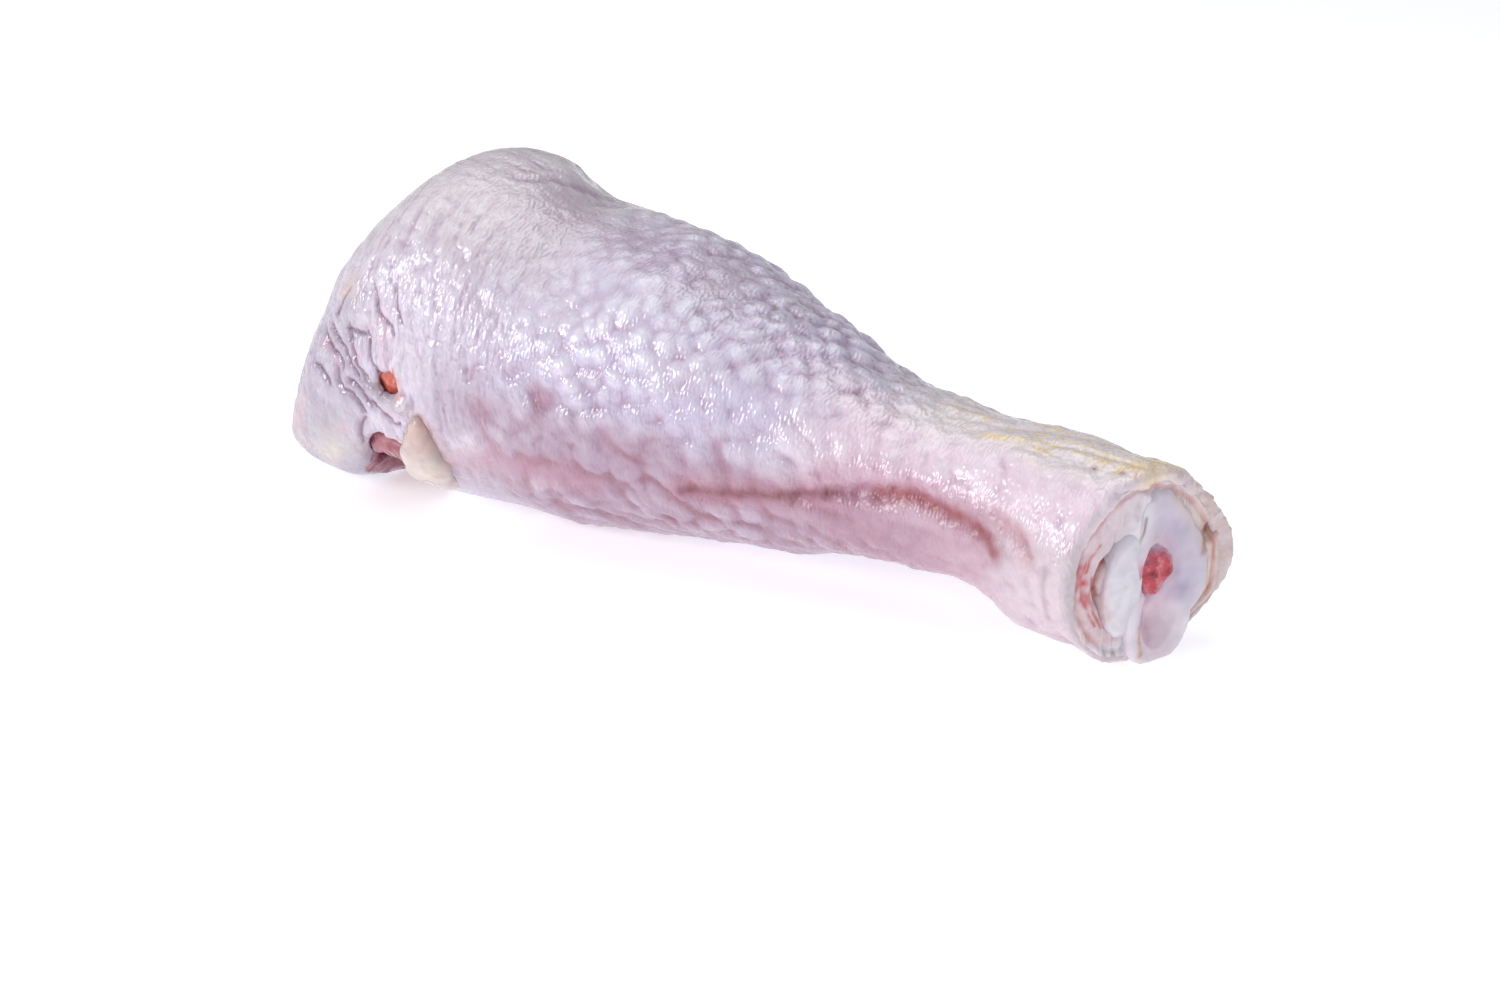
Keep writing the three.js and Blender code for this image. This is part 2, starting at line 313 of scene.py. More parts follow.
def write_points(piece, points):
    piece.data.vertices.foreach_set("co", (points * MM).astype(np.float32).ravel())
    piece.data.update()


def shift(piece, amount, axis):
    """Moves the mesh's points along that axis by that many mm, one amount for each point."""
    write_points(piece, read_points(piece) + np.outer(amount, axis))


print("skin has", len(read_points(wet_skin)), "points")

# %% [markdown]
# The skin is a sleeve, so half of those quads are on its inner wall, which nobody sees. What lies close to
# the flesh is that inner wall. It is thinned there, and the quads that are saved are spent outside.

# %% Distance to the flesh
def search_tree(*nodes):
    """A tree that finds the nearest surface of those measured solids."""
    corners, triangles = [], []
    for node in nodes:
        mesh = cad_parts[node].data
        base = len(corners)
        corners += [v.co.copy() for v in mesh.vertices]
        triangles += [tuple(base + i for i in p.vertices) for p in mesh.polygons]
    return BVHTree.FromPolygons(corners, triangles)


flesh = search_tree("meat", "fat", "bone", "cartilage", "tendon")


def distance_to_flesh(points):
    return np.array([flesh.find_nearest(Vector(p) * MM)[3] / MM for p in points])


print("the camera is", round(distance_to_flesh([camera.location / MM])[0]), "mm from the flesh")

# %% Inner wall
WALL_CLEARANCE = 0.7
KEPT_SHARE = 0.05


def edit_where(piece, chosen, work):
    """Does the work in edit mode on the faces whose corners are all chosen."""
    mesh = piece.data
    corners = read_rows(mesh.loops, "vertex_index", 1, np.int32).ravel()
    starts = read_rows(mesh.polygons, "loop_start", 1, np.int32).ravel()
    for items in mesh.vertices, mesh.edges:
        items.foreach_set("select", np.zeros(len(items), bool))
    mesh.polygons.foreach_set("select", np.minimum.reduceat(chosen[corners].astype(np.int8), starts) > 0)
    pick_only(piece)
    bpy.context.tool_settings.mesh_select_mode = (False, False, True)
    bpy.ops.object.mode_set(mode="EDIT")
    work()
    bpy.ops.object.mode_set(mode="OBJECT")


def count_triangles(piece):
    return sum(len(p.vertices) - 2 for p in piece.data.polygons)


inner_wall = distance_to_flesh(read_points(wet_skin)) < WALL_CLEARANCE
edit_where(wet_skin, inner_wall, lambda: bpy.ops.mesh.decimate(ratio=KEPT_SHARE))
print("after thinning:", count_triangles(wet_skin), "triangles")

# %% [markdown]
# ## A chart of the skin
# Folds and stains are placed on the leg as on a map. One number says how far along the leg in millimetres,
# the other how many degrees round it from its top, with 90 on the side towards the camera and 180 underneath.
# The leg's middle line and thickness come from the measured skin.

# %% Middle line
measured = read_points(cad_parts["skin"])
SLICE_HALF = 2.5


def slice_size(along):
    """Middle y, middle z and mean radius of the leg at that place, in mm."""
    ring = measured[np.abs(measured[:, 0] - along) < SLICE_HALF]
    low, high = ring.min(0), ring.max(0)
    return (low[1] + high[1]) / 2, (low[2] + high[2]) / 2, (high - low)[1:].sum() / 4


STATIONS = np.arange(-62, 59, 4.0)
MIDDLE_Y, MIDDLE_Z, RADIUS = np.array([slice_size(x) for x in STATIONS]).T
print("radius from", RADIUS.min().round(1), "to", RADIUS.max().round(1), "mm")

# %% [markdown]
# Every layer of relief or paint is one number for each point of the mesh. A few functions make such numbers:
# soft steps and bells from a place or a distance, and smooth noise from a grid of repeatable random numbers.

# %% Soft steps
def ease(value, low, high):
    """0 up to low, 1 from high, smooth between. low may be the greater."""
    part = np.clip((value - low) / (high - low), 0, 1)
    return part * part * (3 - 2 * part)


def window(value, *stops):
    """0 up to the first stop and 1 from the second. Of four stops, 1 up to the third and 0 from the fourth."""
    rise = ease(value, *stops[:2])
    return rise * ease(value, *stops[:1:-1]) if len(stops) > 2 else rise


def bell(distance, width):
    return np.exp(-((distance / width) ** 2))


print("half-way up a soft step:", ease(1.5, 1, 2), "and off the far end of a window:", window(9, 1, 2, 3, 4))

# %% Noise
def hashed(cells, seed):
    """A repeatable number from 0 to 1 for each row of whole numbers."""
    mixed = seed * 7919
    for column, prime in zip(cells.T, (73856093, 19349663, 83492791)):
        mixed = mixed ^ (column.astype(np.int64) * prime)
    mixed = (mixed ^ (mixed >> 13)) * 1274126177
    mixed = (mixed ^ (mixed >> 16)) * 668265263
    return ((mixed ^ (mixed >> 15)) & 0xFFFFF) / 0xFFFFF


def cloud(points, size, seed):
    """Smooth noise from -1 to 1 with swells of that size in mm, one size or one for each axis."""
    spread = points / np.asarray(size, float)
    corner = np.floor(spread)
    part = spread - corner
    part = part * part * (3 - 2 * part)
    total = 0
    for step in np.ndindex(2, 2, 2):
        weight = np.prod(np.where(step, part, 1 - part), 1)
        total = total + weight * hashed(corner + step, seed)
    return total * 2 - 1


def patches(points, size, seed, gain=1.0, base=0.0):
    """The same noise as patches from 0 to 1, with more of them for a greater base, and crisper for a gain."""
    return np.clip(base + gain * cloud(points, size, seed), 0, 1)


print("noise at three places:", cloud(np.diag([3.0, 5.0, 7.0]), 4, 1).round(2))

# %% Chart
FORBIDDEN = 1e4


class Chart:
    """A mesh's points with their place on the leg."""

    def __init__(self, piece):
        self.points, self.normals = read_points(piece), read_normals(piece)
        self.along = self.points[:, 0]
        side = self.points[:, 1] - np.interp(self.along, STATIONS, MIDDLE_Y)
        height = self.points[:, 2] - np.interp(self.along, STATIONS, MIDDLE_Z)
        self.around = np.degrees(np.arctan2(-side, height))
        self.radius = np.interp(self.along, STATIONS, RADIUS)

    def spot(self, along, around, allowed):
        """The skin's own point nearest to that place on the chart."""
        turn = (self.around - around + 180) % 360 - 180
        gap = (self.along - along) ** 2 + (np.radians(turn) * self.radius) ** 2 + FORBIDDEN * ~allowed
        return self.points[gap.argmin()]

    def trail(self, stops, allowed, parts=4):
        """Points on the skin along a smooth line through those stops."""
        stops = np.array(stops, float)
        ends = np.vstack([2 * stops[0] - stops[1], stops, 2 * stops[-1] - stops[-2]])
        line = []
        for before, start, end, after in zip(ends, ends[1:], ends[2:], ends[3:]):
            for t in np.arange(parts) / parts:
                pull, push = (end - before) / 2, (after - start) / 2
                place = start + pull * t + (3 * (end - start) - 2 * pull - push) * t * t
                line.append(place + (pull + push - 2 * (end - start)) * t**3)
        return np.array([self.spot(*place, allowed) for place in [*line, stops[-1]]])

# %% Distances
def distance_to(path, points, margin=9.0):
    """Distance in mm from each point to the path, and how far along the path, 0 to 1, its nearest place is."""
    path = np.atleast_2d(np.asarray(path, float))
    if len(path) == 1:
        path = np.repeat(path, 2, 0)
    best, place = np.full(len(points), 1e3), np.zeros(len(points))
    close = ((points > path.min(0) - margin) & (points < path.max(0) + margin)).all(1)
    nearby = points[close]
    gaps, places = best[close], place[close]
    for index, (start, end) in enumerate(zip(path, path[1:])):
        step = end - start
        share = np.clip((nearby - start) @ step / max(step @ step, 1e-9), 0, 1)
        gap = np.linalg.norm(nearby - start - share[:, None] * step, axis=1)
        places = np.where(gap < gaps, (index + share) / (len(path) - 1), places)
        gaps = np.minimum(gap, gaps)
    best[close], place[close] = gaps, places
    return best, place


def near(path, points, width, margin=9.0):
    """1 on the path and less beside it, over that width in mm."""
    return bell(distance_to(path, points, margin)[0], width)


print("1 mm beside a place 2 mm wide:", near((0, 0), np.array([[1.0, 0.0]]), 2).round(2))

# %% Pebbles
def pebbles(across, along, seed):
    """With a loosely placed dot in each unit square: how far the nearest is, and its own number, 0 to 1."""
    first, own = np.full(len(across), 9.0), np.zeros(len(across))
    for step in np.ndindex(3, 3):
        cell = np.stack([np.floor(across) + step[0] - 1, np.floor(along) + step[1] - 1], 1)
        dot = cell + 0.5 + (np.stack([hashed(cell, seed), hashed(cell, seed + 1)], 1) - 0.5) * 0.6
        gap = np.hypot(across - dot[:, 0], along - dot[:, 1])
        own = np.where(gap < first, hashed(cell, seed + 2), own)
        first = np.minimum(first, gap)
    return first, own


print("a dot lies within", pebbles(np.arange(9.0), np.arange(9.0), 1)[0].max().round(2), "of nine places")

# %% [markdown]
# The bunched skin, the fine wrinkles, the long crease and the scaly strip over the hock need finer quads than
# the rest, so the quads there are cut in four.

# %% Finer quads
HOCK_EDGE_AT, HOCK_EDGE_SLOPE = 60, 0.44
FROM_FLESH = 0.9
FINE_ZONES = [
    # from and to along the leg, from and to round it
    (-60, -34, 58, 130),
    (-35, -10, 42, 104),
    (20, 52, 62, 92),
    (38, 66, -20, 28),
]


def refine(piece, chosen):
    """Cuts each chosen quad in four."""
    edit_where(piece, chosen, lambda: bpy.ops.mesh.subdivide(number_cuts=1, ngon=False))
    print(piece.name, "has", count_triangles(piece), "triangles")


def between(values, low, high):
    return (values > low) & (values < high)


coarse = Chart(wet_skin)
fine_zone = (coarse.along > HOCK_EDGE_AT + HOCK_EDGE_SLOPE * coarse.points[:, 1]) & (coarse.around > -60)
for start, end, low, high in FINE_ZONES:
    fine_zone |= between(coarse.along, start, end) & between(coarse.around, low, high)
refine(wet_skin, fine_zone & (distance_to_flesh(coarse.points) > FROM_FLESH))

# %% [markdown]
# ## Sculpting the skin
# The relief is added up in layers, as a sculptor works: broad swells first, then the round pimples where the
# feathers grew, the fine wrinkles round the thigh, and last the deep folds where the skin is bunched. Each
# layer is a height in mm, and the skin is moved by the sum along its own normals. The inner wall stays.

# %% Places on the skin
MOSTLY = 0.9
chart = Chart(wet_skin)
outside = ease(distance_to_flesh(chart.points), WALL_CLEARANCE, 2 * WALL_CLEARANCE)
is_outside = outside > MOSTLY
along, around, points = chart.along, chart.around, chart.points


def at(*stops):
    """Points on the outside of the skin along those stops of the chart, each (mm along, degrees round)."""
    return chart.trail(stops, is_outside) if len(stops) > 1 else chart.spot(*stops[0], is_outside)[None]


def noise(size, seed):
    """Noise on the skin, from -1 to 1."""
    return cloud(points, size, seed)


def area(along_stops, around_stops):
    """1 inside an area of the chart and 0 outside, with soft edges between the stops."""
    return window(along, *along_stops) * window(around, *around_stops)


def near_from(low, high):
    """0 up to low degrees round, 1 from high, and 0 again under the belly, where the chart's two edges meet."""
    return window(around, low, high, 152, 178)


def far_from(low, high):
    """The same for the crown and the far side: 0 from low degrees round, 1 below high, 0 under the belly."""
    return ease(around, low, high) * ease(around, -178, -150)


print("outside of the skin:", int(is_outside.sum()), "of", len(points), "points")

# %% Broad swells
BROAD_SWELLS = [
    # place on the chart, reach and height in mm
    ((-33, -22), 7, -0.8),
    ((-24, -15), 3.0, -1.1),
    ((-31.5, -14), 3.5, 0.8),
    ((-12, -26), 8, 1.1),
    ((-17, -16), 4, 0.6),
    ((-55, 68), 6, -0.9),
    ((-53, 138), 4.5, 1.4),
    ((33, -25), 7, 0.7),
    ((51, -14), 6, 0.6),
    ((48.5, 140), 4.5, 1.5),
    ((57, 140), 3.5, -0.8),
]
height = noise(13, 3) * 0.28 + noise(6, 4) * 0.12
for place, reach, rise in BROAD_SWELLS:
    height += rise * near(at(place), points, reach, 3 * reach)
print("swells from", height.min().round(2), "to", height.max().round(2), "mm")

# %% Pimples
PIMPLE_SPACING = 2.9
ROW_TURN = math.radians(38)
ARC_FROM = 55
arc = np.radians(around - ARC_FROM) * chart.radius
across_rows = (arc * math.cos(ROW_TURN) + along * math.sin(ROW_TURN)) / PIMPLE_SPACING
along_rows = (along * math.cos(ROW_TURN) - arc * math.sin(ROW_TURN)) / PIMPLE_SPACING
wander, drift = noise(7, 9) * 0.45, noise(7, 10) * 0.45
gap, own = pebbles(across_rows + wander, along_rows + drift, 11)
dome = bell(gap, 0.42) * (0.45 + 0.7 * own)
pit = ease(gap, 0.52, 0.8) * patches(points, 2.5, 13, base=0.6)
pimpled = ease(along, -32, -8) * (1 - 0.6 * ease(along, 26, 40))
crowded = window(along, -16, 4, 26, 38) * far_from(48, 14)
patchy = np.clip(0.8 + 0.6 * noise(8, 12), 0.3, 1.2)
lumps = 0.3 * noise(4.5, 15) + 0.12 * noise(1.8, 16)
height += pimpled * (0.42 * dome * patchy - 0.26 * pit - 0.08 + 0.8 * lumps)
height += crowded * (0.2 * dome - 0.3 * pit * patches(points, 4, 14, base=0.5))
print("pimples stand up to", height.max().round(2), "mm")

# %% Pillows
PILLOW_SPACING = 5.0
pillow_gap, pillow_own = pebbles(arc / PILLOW_SPACING + wander, along / PILLOW_SPACING + drift, 17)
pillowed = area((-33, -22, 22, 32), (68, 84, 130, 146))
uneven = np.clip(0.65 + 0.9 * noise(6, 19), 0.1, 1.2)
pillow = bell(pillow_gap, 0.42) * (0.4 + 0.6 * pillow_own) * uneven
crevice = ease(pillow_gap, 0.42, 0.68) * patches(points, 3, 18, gain=0.9, base=0.55)
height += pillowed * (0.6 * pillow - 0.35 * crevice - 0.12 + 0.14 * noise(1.5, 20))
print("pillows on", round(float((pillowed > 0.3).mean()), 2), "of the points")

# %% [markdown]
# Round the thigh the skin hangs in fine wrinkles that run round the leg, and on the crown and over the hock
# they run along it. Stretched noise gives both: its swells are short across the wrinkle and long beside it.

# %% Fine wrinkles
def wrinkled(size, seed):
    """Rounded ridges with narrow valleys, from 0 in a valley to 1 on a ridge."""
    warp = noise(4, seed + 5)[:, None] * np.array([0.5, 0.35, 0.35])
    return np.abs(cloud(points + warp, size, seed)) ** 0.7


hair_lines = ease(wrinkled((3.4, 0.9, 0.9), 26), 0.28, 0.05) * crowded
height -= 0.14 * hair_lines
hoops = area((-10, -30), (8, 40, 115, 150)) * (1 - 0.6 * ease(along, -40, -50))
hoops += 0.7 * area((-66, -54, -24, -8), (-165, -140, -75, -40))
height += hoops * (0.55 * wrinkled((1.4, 11, 11), 21) * ease(along, -20, -36) - 0.2)
height += hoops * (0.42 * wrinkled((1.0, 2.2, 2.2), 22) - 0.2)
crown = area((-52, -40, -26, -14), (-50, -30, 8, 26))
height += crown * (0.3 * wrinkled((7, 1.2, 1.2), 23) - 0.12)
ridge = area((22, 36), (-75, -50, 18, 40))
height += ridge * (0.55 * wrinkled((9, 1.7, 1.7), 24) - 0.2)
shank = window(along, 24, 34, 54, 60) * near_from(10, 30)
height += shank * (0.3 * wrinkled((3.4, 2.6, 2.6), 25) - 0.12)
print("wrinkled share of the points:", round(float((hoops > 0.3).mean()), 2))

# %% [markdown]
# A fold is a narrow valley with a soft ridge on each side, drawn along a line on the chart. It fades at both
# ends. In the bunched skin of the thick end the folds lie so close that what is between them stands up in
# soft pillows, so there the height follows from how far the nearest fold is.

# %% Fold
def fade_of(place):
    return np.sin(np.pi * np.clip(place, 0, 1)) ** 0.6


def fold(stops, width, depth, ridge=0.42):
    """Presses a fold of that width and depth in mm along the stops, and raises that share of it beside it."""
    global height
    gap, place = distance_to(at(*stops), points)
    height = height - depth * bell(gap, width) * fade_of(place)
    height = height + ridge * depth * bell(gap - 1.9 * width, 0.9 * width) * fade_of(place)


print("a fold is at", fade_of(0.1).round(2), "of its depth after a tenth of its length")

# %% Bunched folds
BUNCHED_FOLDS = [
    # stops of each fold on the chart
    [(-39.5, 60), (-38.5, 66), (-38, 71), (-36.5, 76)],
    [(-43.5, 58), (-41.5, 68), (-41, 72), (-39, 76), (-38, 81)],
    [(-47, 58), (-49, 64), (-50, 68)],
    [(-47, 72), (-46.5, 76), (-46, 82), (-45.5, 86), (-45, 90), (-43.5, 94), (-42.5, 97)],
    [(-43.5, 76), (-43, 79), (-42.5, 83), (-42.5, 88), (-41.5, 91), (-42, 96)],
    [(-47.5, 75), (-46, 76), (-44.5, 78), (-43, 79)],
    [(-52, 68), (-51, 72), (-49, 78), (-47.5, 82), (-47, 86), (-45.5, 92), (-44.5, 96), (-43, 100)],
    [(-54.5, 68), (-53.5, 72), (-52, 78), (-50.5, 81), (-49.5, 83), (-48.5, 87), (-48.5, 92)],
    [(-50, 86), (-49.5, 90), (-49.5, 94), (-48.5, 98), (-47, 100), (-46.5, 103), (-45.5, 107), (-45, 110)],
    [(-45, 110), (-46, 112), (-47, 115), (-47.5, 119), (-48, 126)],
    [(-45.5, 102), (-43.5, 105), (-42, 108), (-41, 111), (-40, 113), (-38, 112)],
    [(-48, 92), (-46, 97), (-45, 101), (-44.5, 104), (-43, 108)],
    [(-55, 80), (-54.5, 86), (-52.5, 91), (-51, 96)],
]
FAR_FROM_FOLDS = 9.0
nearest_fold = np.full(len(points), FAR_FROM_FOLDS)
for stops in BUNCHED_FOLDS:
    gap, place = distance_to(at(*stops), points)
    nearest_fold = np.minimum(nearest_fold, gap + 0.6 * bell(np.minimum(place, 1 - place), 0.07))
bunched = area((-34, -42), (62, 76, 116, 132))
fold_valley = bell(nearest_fold, 0.34)
height += bunched * (0.2 * noise(3, 59) + 0.1 * noise(1.4, 60))
height += bunched * (0.6 * np.sqrt(np.clip(nearest_fold / 2.6, 0, 1)) - 0.4) - 0.2 * fold_valley
print(len(BUNCHED_FOLDS), "folds in the thick end")

# %% Roll and crease
ROLL_FOLDS = [
    # stops on the chart, width and depth in mm
    ([(-33, 12), (-30.5, 8), (-28.5, 0), (-27, -8), (-26.5, -14), (-26.5, -32)], 0.6, 0.4),
    ([(-37, -2), (-34.5, -2), (-31.5, -2), (-28.5, -6), (-27.5, -12)], 0.3, 0.2),
    ([(-37, 4), (-33, 4), (-30, 3)], 0.3, 0.15),
]
PRESSED_CREASE = [
    (4, 108), (12, 102), (19.5, 95), (24.5, 87), (30, 79), (35, 74), (39.5, 78), (44.5, 82), (47.5, 89),
]
BAND_TOP = [(23, 77), (28, 68), (32, 64), (37, 69), (42, 69), (47, 70)]
SECOND_CREASE = [(47.5, 68), (50, 69), (51.5, 72), (52.5, 80)]
CREASE_REACH = 2.2

skin_band = at((-45, 92), (-43.5, 97), (-41.5, 102), (-38.5, 104), (-36.6, 105))
gap, place = distance_to(skin_band, points)
band = bell(gap, 1.2) * ease(place, 0, 0.25)
height += band
for stops, width, depth in ROLL_FOLDS:
    fold(stops, width, depth)
fold(PRESSED_CREASE[1:], 1.4, 0.95, ridge=0.12)
fold(SECOND_CREASE, 1.1, 0.5, ridge=0.12)
in_crease = np.maximum(*(near(at(*line), points, CREASE_REACH) for line in (PRESSED_CREASE, SECOND_CREASE)))
print(len(ROLL_FOLDS), "folds under the roll, crease on", int((in_crease > 0.5).sum()), "points")

# %% [markdown]
# ## Places on the cut
# The cut through the hock is flat, so what shows on it is placed as on a sheet of paper laid against it: mm to
# the far side, mm up, and mm out of the cut. The skin's own edge there is rolled into a soft lip.

# %% Cut frame
HOCK = np.array([64.47, 3.17, 13.5])
CUT_TURN = math.radians(24)
CUT_SIDE = np.array([math.sin(CUT_TURN), math.cos(CUT_TURN), 0])
CUT_OUT = np.array([math.cos(CUT_TURN), -math.sin(CUT_TURN), 0])


def on_cut(points):
    """Side, up and out of the cut for each point, in mm."""
    offset = points - HOCK
    return offset @ CUT_SIDE, offset[:, 2], offset @ CUT_OUT


def flat_place(points):
    side, up, _ = on_cut(points)
    return np.stack([side, up], 1)


side, up, out = on_cut(points)
near_side = ease(side, 2, -4)
lip = bell(out + 1.1, 1.0) * near_side
groove = bell(out + 2.9, 0.5) * near_side * ease(np.abs(up + 1.5), 5, 3)
height += 0.1 * lip - 0.14 * groove
print("the cut is", round(float(np.ptp(side[out > -1])), 1), "mm wide")

# %% [markdown]
# The measured leg has flat facets, and round the thin cut they show as corners. Rays sent in from outside find
# how far out the skin lies all round the cut, and the skin is stretched from there to a smoothed outline.

# %% Round the shank
def neighbours_mean(values, edges, count):
    total = np.bincount(edges.ravel(), values[edges[:, ::-1].ravel()], count)
    return total / np.maximum(np.bincount(edges.ravel(), minlength=count), 1)


FACET_ROUNDS = 50
skin_edges = read_rows(wet_skin.data.edges, "vertices", 2, np.int32)
smooth = points.copy()
for _ in range(FACET_ROUNDS):
    for axis in range(3):
        smooth[:, axis] = neighbours_mean(smooth[:, axis], skin_edges, len(smooth))
faceted = ease(along, 12, 28) * outside * ease(out, -2.5, -5)
off_facet = ((smooth - points) * chart.normals).sum(1)
off_facet -= off_facet[faceted > MOSTLY].mean()
points = points + chart.normals * (off_facet * faceted)[:, None]
print("facets moved by", np.abs(points - chart.points).max().round(2), "mm at most")

# %% Rays across the cut
RING_MIDDLE, RING_DEPTH = np.array([-1.0, -1.0]), -1.2
TURNS = np.arange(-180, 180, 6)
RAY_START, RAY_LENGTH, NO_HIT = 25, 30, 9.0
skin_tree = search_tree("skin")


def cut_point(side, up, out):
    """A place on the cut, or below it, in the leg's own axes."""
    return HOCK + side * CUT_SIDE + np.array([0, 0, up]) + out * CUT_OUT


def reach_of(tree, middle, turn, start, heading):
    """Distance in mm from the middle to the surface, for a ray across the cut that starts start mm out."""
    turn = math.radians(turn)
    step = math.cos(turn) * CUT_SIDE + np.array([0, 0, math.sin(turn)])
    origin = Vector((cut_point(*middle) + step * start) * MM)
    distance = tree.ray_cast(origin, Vector(step * heading), RAY_LENGTH * MM)[3]
    return start + heading * distance / MM if distance else NO_HIT


def polar(points, middle):
    """Side and up from that middle, how far out of the cut, and the turn in degrees."""
    side, up, out = on_cut(points)
    side, up = side - middle[0], up - middle[1]
    return side, up, out, np.degrees(np.arctan2(up, side))


def spread_out(points, side, up):
    """The points moved across the cut."""
    return points + np.outer(side, CUT_SIDE) + np.outer(up, (0, 0, 1))


ring_at = (*RING_MIDDLE, RING_DEPTH)
outer_reach = np.array([reach_of(skin_tree, ring_at, turn, RAY_START, -1) for turn in TURNS])
print("ring of skin", outer_reach.min().round(1), "to", outer_reach.max().round(1), "mm from its middle")

# %% Round the hock
OUTLINE_ROUNDS = 6
HEEL_TURN, HEEL_WIDTH, HEEL_RISE = -25, 24, 1.1
rounded_reach = outer_reach.copy()
for _ in range(OUTLINE_ROUNDS):
    rounded_reach = (np.roll(rounded_reach, 1) + rounded_reach + np.roll(rounded_reach, -1)) / 3
rounded_reach += HEEL_RISE * bell(TURNS - HEEL_TURN, HEEL_WIDTH)


def rounded_off(points):
    """The points with the outline near the cut rounded."""
    side, up, out, turn = polar(points, RING_MIDDLE)
    stretch = ease(out, -14, -3) * (np.interp(turn, TURNS, rounded_reach / outer_reach, period=360) - 1)
    return spread_out(points, stretch * side, stretch * up)


print("outline moved by", np.abs(rounded_reach - outer_reach).max().round(2), "mm at most")

# %% Presses and lifts
REST_LEVEL = 0.05
DEEPEST, HIGHEST = -1.25, 2.4
STRIP_AT, STRIP_REACH, STRIP_LIFT = (-48.3, -13, 2), (3.6, 8, 4.5), 3.2
WAIST = [
    # place, reach along the three axes and drop in mm
    ((-25.2, 7, 45.2), (2.8, 9, 8), 1.2),
    ((-30, 13.5, 43.5), (3.2, 5.5, 5), 1.9),
]
MOUTH_FLOOR = [(-49.5, -15.3, 4.4), (-50, -13.5, 2.2), (-50.2, -9, 1.2), (-49.5, -3, 0)]


def round_place(points, place, reach):
    """1 in the middle of a place on the leg, and less over its reach along the three axes."""
    return bell(np.linalg.norm((points - place) / reach, axis=1), 1)


def strip_lifted(points):
    """The points with the strip of skin below the mouth drawn up."""
    return points + np.outer(round_place(points, STRIP_AT, STRIP_REACH) * STRIP_LIFT, (0, 0, 1))


def waist_pressed(points):
    """The points with the waist beside the roll on the thigh pressed down."""
    drop = sum(fall * round_place(points, place, reach) for place, reach, fall in WAIST)
    return points - np.outer(drop, (0, 0, 1))


def on_the_floor(points):
    """The points, none lower than the surface that the leg lies on."""
    return np.maximum(points, (-np.inf, -np.inf, REST_LEVEL))


print("lowest point allowed:", on_the_floor(np.zeros(3))[2], "mm")

# %% Move the skin
mouth_floor = ease(distance_to(MOUTH_FLOOR, points)[0], 3.3, 2.8)
height += mouth_floor * 0.4 * noise(1.1, 53)
height = np.clip(height, DEEPEST, HIGHEST)
moved = waist_pressed(strip_lifted(rounded_off(points + chart.normals * (height * outside)[:, None])))
clearance = distance_to_flesh(points)
inner_edge = ease(out, -1.4, -0.3) * ease(clearance, 1.5, 0.6)
moved -= np.outer(inner_edge * (0.75 + 0.35 * noise(2, 51)), CUT_OUT)
write_points(wet_skin, on_the_floor(moved))
apply_modifier(wet_skin, "SMOOTH", factor=0.35, iterations=1)
print("skin moved by", height.min().round(2), "to", height.max().round(2), "mm")

# %% [markdown]
# ## Colour of the skin
# Cold, wet chicken skin is a milky lavender over pink. The paint is kept on the mesh as a colour for each
# point, laid on in washes as with a brush: cream on the crown, yellow along the scaly strip over the hock,
# and rose where the meat shows through. Light and shade are painted in as well: violet painted shade in the
# crevices, folds and crease, painted light on the tops of pimples and pillows, and painted shade underneath.

# %% Paint box
def keep_layer(piece, name, values):
    """Stores a number or a colour for each point of the mesh."""
    colours = values.ndim == 2
    layer = piece.data.attributes.new(name, "FLOAT_COLOR" if colours else "FLOAT", "POINT")
    if colours:
        values = np.hstack([values, np.ones((len(values), 1))])
    layer.data.foreach_set("color" if colours else "value", values.astype(np.float32).ravel())


class Paint:
    """The colour of a mesh's points. Paths are in the space of places, which is mm in two or three axes."""

    def __init__(self, piece, places, colour):
        self.piece, self.places, self.solid = piece, places, read_points(piece)
        self.colour = np.tile(shade(*colour)[:3], (len(places), 1))

    def wash(self, colour, amount):
        """Mixes a colour in, by that share at each point."""
        amount = np.clip(amount, 0, 1)[:, None]
        self.colour += (np.array(shade(*colour)[:3]) - self.colour) * amount

    def deepen(self, factors, amount):
        """Paints shade: darkens the colour towards those shares of its red, green and blue."""
        self.colour *= 1 - np.outer(np.clip(amount, 0, 1), 1 - np.array(factors))

    def mark_or_painted_light(self, path, width, colour, strength, ragged=0.5):
        """A soft patch of colour along a path, or round one place, with a ragged edge: a stain, or painted
        light or shade.
        """
        torn = 1 + ragged * (cloud(self.solid, max(width * 0.5, 0.8), 31) + 0.5 * cloud(self.solid, 0.9, 32))
        self.wash(colour, strength * near(path, self.places, width, 3 * width) * torn)

    def keep(self):
        keep_layer(self.piece, "paint", self.colour)
        print(self.piece.name, "mean colour", self.colour.mean(0).round(2))

# %% Skin colours
LEVEL_ROUNDS, FULL_HOLLOW = 12, 0.25
level = height.copy()
for _ in range(LEVEL_ROUNDS):
    level = neighbours_mean(level, skin_edges, len(level))
hollow = np.clip((level - height) / FULL_HOLLOW, 0, 1)

skin = Paint(wet_skin, points, (217, 211, 228))
skin.wash((200, 191, 220), 0.45 + 0.55 * noise(9, 41))
skin.wash((223, 214, 224), patches(points, 5, 44, gain=0.7, base=0.3) * 0.5)
skin.wash((190, 168, 196), patches(points, 4, 45, gain=1.3, base=-0.15) * 0.75)
skin.wash((220, 211, 212), far_from(75, 20) * ease(along, -8, -30) * 0.7)
skin.wash((206, 200, 222), crowded * 0.4)
skin.wash((236, 226, 230), hoops * 0.25)
skin.wash((244, 222, 234), ease(along, 10, 30) * near_from(5, 30) * 0.85)
# Painted shade: the lower side is darker and pinker.
skin.wash((210, 178, 196), 0.5 * near_from(100, 150) * ease(along, -25, -5))
